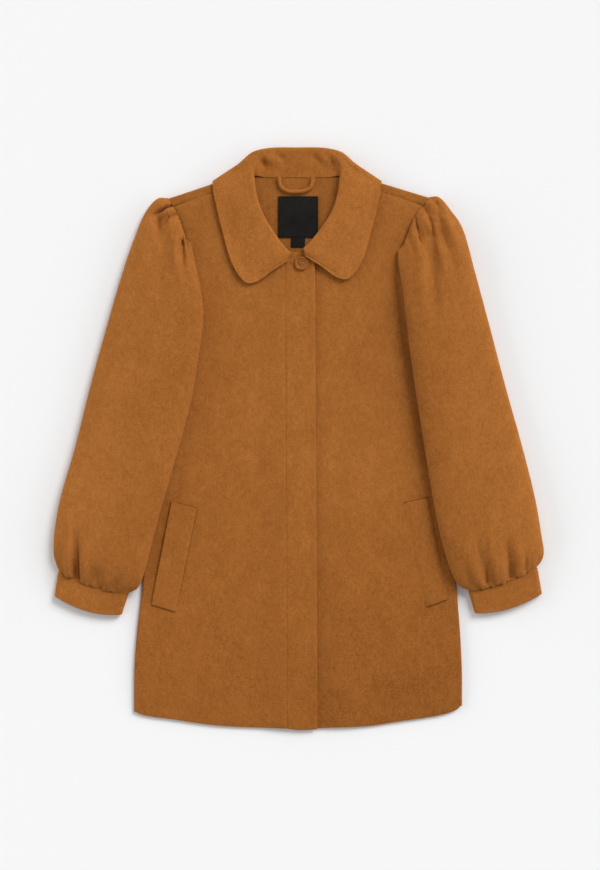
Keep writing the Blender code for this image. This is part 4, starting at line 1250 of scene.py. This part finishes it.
# Sleeves and cuffs
SLEEVE_U = steps((0, 1, 20), (1, 2, 131), (2, 3, 18))
SLEEVE_V = steps((0, 3.2, 100), (3.2, 9, 48), (9, LAST_SECTION, 92))
for side, name in SIDES:
    grid = points_of(SLEEVE_U, SLEEVE_V, sleeve_place(side))
    cloth_piece("sleeve_" + name, grid, CLOTH, wool_sleeve[side])
    grid = points_of(steps((0, 1, 121)), steps((0, 1, 29)), cuff_place(side))
    cloth_piece("cuff_" + name, grid, CUFF_CLOTH, wool_sleeve[side],
                closed=True, edge=0.45)

# Pocket welts, each with its two ends sewn down; the right one's inner seam gets a dark strand as painted
# shade
WELT_U = steps((0, 1, 27))
WELT_V = steps((0, 1, 90))
for side, name in SIDES:
    place = welt_place(side)
    grid = points_of(WELT_U, WELT_V, place)
    bow = np.sin(math.pi * WELT_V)[:, None].clip(0.0) ** WELT_BOW
    grid[..., 2] += WELT_GAPE[side] * ease(WELT_U, *WELT_OPEN)[None, :] * bow
    turn_in(grid, "low", *WELT_END_SEAM)
    turn_in(grid, "high", *WELT_END_SEAM)
    turn_in(grid, "first", *WELT_INNER_SEAM[side])
    if side == LEFT:
        turn_in(grid, "last", *WELT_OUTER_SEAM)
    cloth_piece("pocket_welt_" + name, grid, WELT_CLOTH, wool_front[side],
                edge=0.45)
    sewing = []
    for v in WELT_STITCH_UP:
        line = place(WELT_STITCH_ACROSS, np.array([v, v]))
        line[:, 2] += WELT_CLOTH / 2 - WELT_STITCH[1]
        sewing += stitches(line[0], line[1], *WELT_STITCH)
    # Painted shade: a dark strand of the sewing thread, sunk into the right welt's inner seam, stands in
    # for the seam's groove.
    if side == RIGHT:
        up = np.linspace(*SEAM_SHADE_UP, 60)
        line = place(np.full_like(up, SEAM_SHADE_ACROSS), up)
        line[:, 2] += WELT_CLOTH / 2 - SEAM_SHADE_DEPTH - SEAM_SHADE_SINK * (1 - ease(up, *SEAM_SHADE_FADE))
        sewing.append(line)
    thread("welt_sewing_" + name, sewing, WELT_THREAD, dark_thread)

# Trim at the neck
loop_line = along(LOOP_PATH, np.linspace(0, 1, 60))
way = unit(np.gradient(loop_line, axis=0))
turn = np.linspace(0, 2 * math.pi, 25)
ring = LOOP_RADIUS - LOOP_WALL / 2
ground = back_mid(loop_line[:, :1], loop_line[:, 1:]) + CLOTH / 2 + SEAM
loop = np.stack([loop_line[:, :1] - way[:, 1:] * ring * np.cos(turn),
                 loop_line[:, 1:] + way[:, :1] * ring * np.cos(turn),
                 ground + LOOP_RADIUS + ring * np.sin(turn)], axis=-1)
cloth_piece("hanger_loop", loop, LOOP_WALL, wool_body, closed=True)

tag = points_of(steps((0, 1, 41)), steps((0, 1, 41)), label_place(*LABEL))
across, up = tag[..., 0] / LABEL_SPAN, (tag[..., 1] - LABEL_MID_Y) / LABEL_SPAN
tag[..., 2] += LABEL_RISE + sum(h * np.sin(a * across + b * up) for h, a, b in LABEL_WAVES)
cloth_piece("label", tag, LABEL_CLOTH, black)
tab = points_of(steps((0, 1, 17)), steps((0, 1, 13)), label_place(*SIZE_TAB))
cloth_piece("size_tab", tab, LABEL_CLOTH, black)
left, right, low, high = LABEL
in_x, in_y = LABEL_STITCH_IN
sewing = []
for y in (high - in_y, low + in_y):
    z = float(back_mid(0.0, y)) + CLOTH / 2 + 2 * SEAM + LABEL_CLOTH + LABEL_STITCH_OVER
    sewing += stitches((left + in_x, y, z), (right - in_x, y, z), *LABEL_STITCH)
thread("label_sewing", sewing, LABEL_THREAD, black_thread)


def mesh_of(form, name):
    """Mesh of a finished form."""
    mesh = bpy.data.meshes.new(name)
    form.to_mesh(mesh)
    form.free()
    return mesh


def turned_button():
    """Mesh of the button: its profile turned about Z, with four holes drilled through."""
    outline = through(BUTTON_PROFILE, np.linspace(0, len(BUTTON_PROFILE) - 1, 41))
    outline[:, 0] = np.maximum(outline[:, 0], 0.0)
    outline[0, 0] = outline[-1, 0] = 0.0
    form = bmesh.new()
    line = [form.verts.new((radius * MM, 0.0, height * MM)) for radius, height in outline]
    edges = [form.edges.new(pair) for pair in zip(line, line[1:])]
    bmesh.ops.spin(form, geom=line + edges, cent=(0, 0, 0), axis=(0, 0, 1), angle=2 * math.pi,
                   steps=72, use_merge=True)
    bmesh.ops.remove_doubles(form, verts=form.verts, dist=0.01 * MM)
    bmesh.ops.recalc_face_normals(form, faces=form.faces)
    blank = linked("button_blank", mesh_of(form, "button"))
    drills = []
    for angle in np.radians([45, 135, 225, 315]):
        form = bmesh.new()
        bmesh.ops.create_cone(form, cap_ends=True, segments=20, radius1=BUTTON_HOLE_RADIUS * MM,
                              radius2=BUTTON_HOLE_RADIUS * MM, depth=12 * MM)
        out = BUTTON_HOLE_OUT * MM
        bmesh.ops.translate(form, verts=form.verts, vec=(out * math.cos(angle), out * math.sin(angle), 0.0))
        drills.append(linked("drill", mesh_of(form, "drill")))
        cut = blank.modifiers.new("hole", "BOOLEAN")
        cut.solver = "EXACT"
        cut.object = drills[-1]
    bpy.context.view_layer.update()
    drilled = blank.evaluated_get(bpy.context.evaluated_depsgraph_get())
    mesh = bpy.data.meshes.new_from_object(drilled)
    for thing in [blank] + drills:
        bpy.data.objects.remove(thing)
    mesh.materials.clear()
    mesh.materials.append(resin)
    mesh.shade_smooth()
    return mesh


# Button and its thread
x, y = BUTTON_CENTRE
base = float(front_mid(x, y)) + CLOTH / 2 + 2 * SEAM + PLACKET_CLOTH
button = linked("look_button", turned_button())
button.location = (x * MM, y * MM, base * MM)
crisp = button.modifiers.new("crisp", "EDGE_SPLIT")
crisp.split_angle = math.radians(50)
dress(button, "button")
hole = BUTTON_HOLE_OUT * math.cos(math.radians(45))
strands = [[(x + beside + apart, y + hole * share, base + height) for share, height in BUTTON_STRAND]
           for beside in (-hole, hole) for apart in (-STRAND_APART, STRAND_APART)]
thread("button_thread", strands, BUTTON_THREAD, tan_thread)

# Floor, light and camera
bpy.ops.mesh.primitive_plane_add(size=FLOOR_SIZE, location=(0, 0, FLOOR_HEIGHT))
floor = bpy.context.active_object
floor.name = "floor"
floor.data.materials.append(paper("backdrop"))


def lamp(name, bearing, height, spread, power):
    """A far soft light: bearing from +X towards +Y and height above the floor, in degrees."""
    light = bpy.data.lights.new(name, "SUN")
    light.energy = power
    light.angle = math.radians(spread)
    linked(name, light).rotation_euler = (0.0, math.radians(90.0 - height), math.radians(bearing))


def strip(name, side, out, height, tilt, length, depth, power):
    """A long soft light beside the coat, tilted down towards it."""
    light = bpy.data.lights.new(name, "AREA")
    light.shape = "RECTANGLE"
    light.size = depth
    light.size_y = length
    light.energy = power
    thing = linked(name, light)
    thing.location = (side * out, 0.0, height)
    thing.rotation_euler = (0.0, side * math.radians(90.0 - tilt), 0.0)
    thing.visible_camera = False


lamp("key", *KEY)
lamp("fill", *FILL)
for side, name in SIDES:
    strip("strip_" + name, side, *STRIP[side])
scene = bpy.context.scene
scene.world = bpy.data.worlds.new("studio")
scene.world.use_nodes = True
sky = scene.world.node_tree.nodes["Background"]
sky.inputs["Color"].default_value = (1.0, 1.0, 1.0, 1.0)
sky.inputs["Strength"].default_value = WORLD_POWER
scene.view_settings.view_transform = "Standard"
scene.view_settings.look = "None"

lens = bpy.data.cameras.new("camera")
lens.lens = LENS
lens.sensor_fit = "VERTICAL"
lens.sensor_height = SENSOR_HEIGHT
scene.camera = linked("camera", lens)
scene.camera.location = CAMERA_PLACE

bpy.context.view_layer.update()
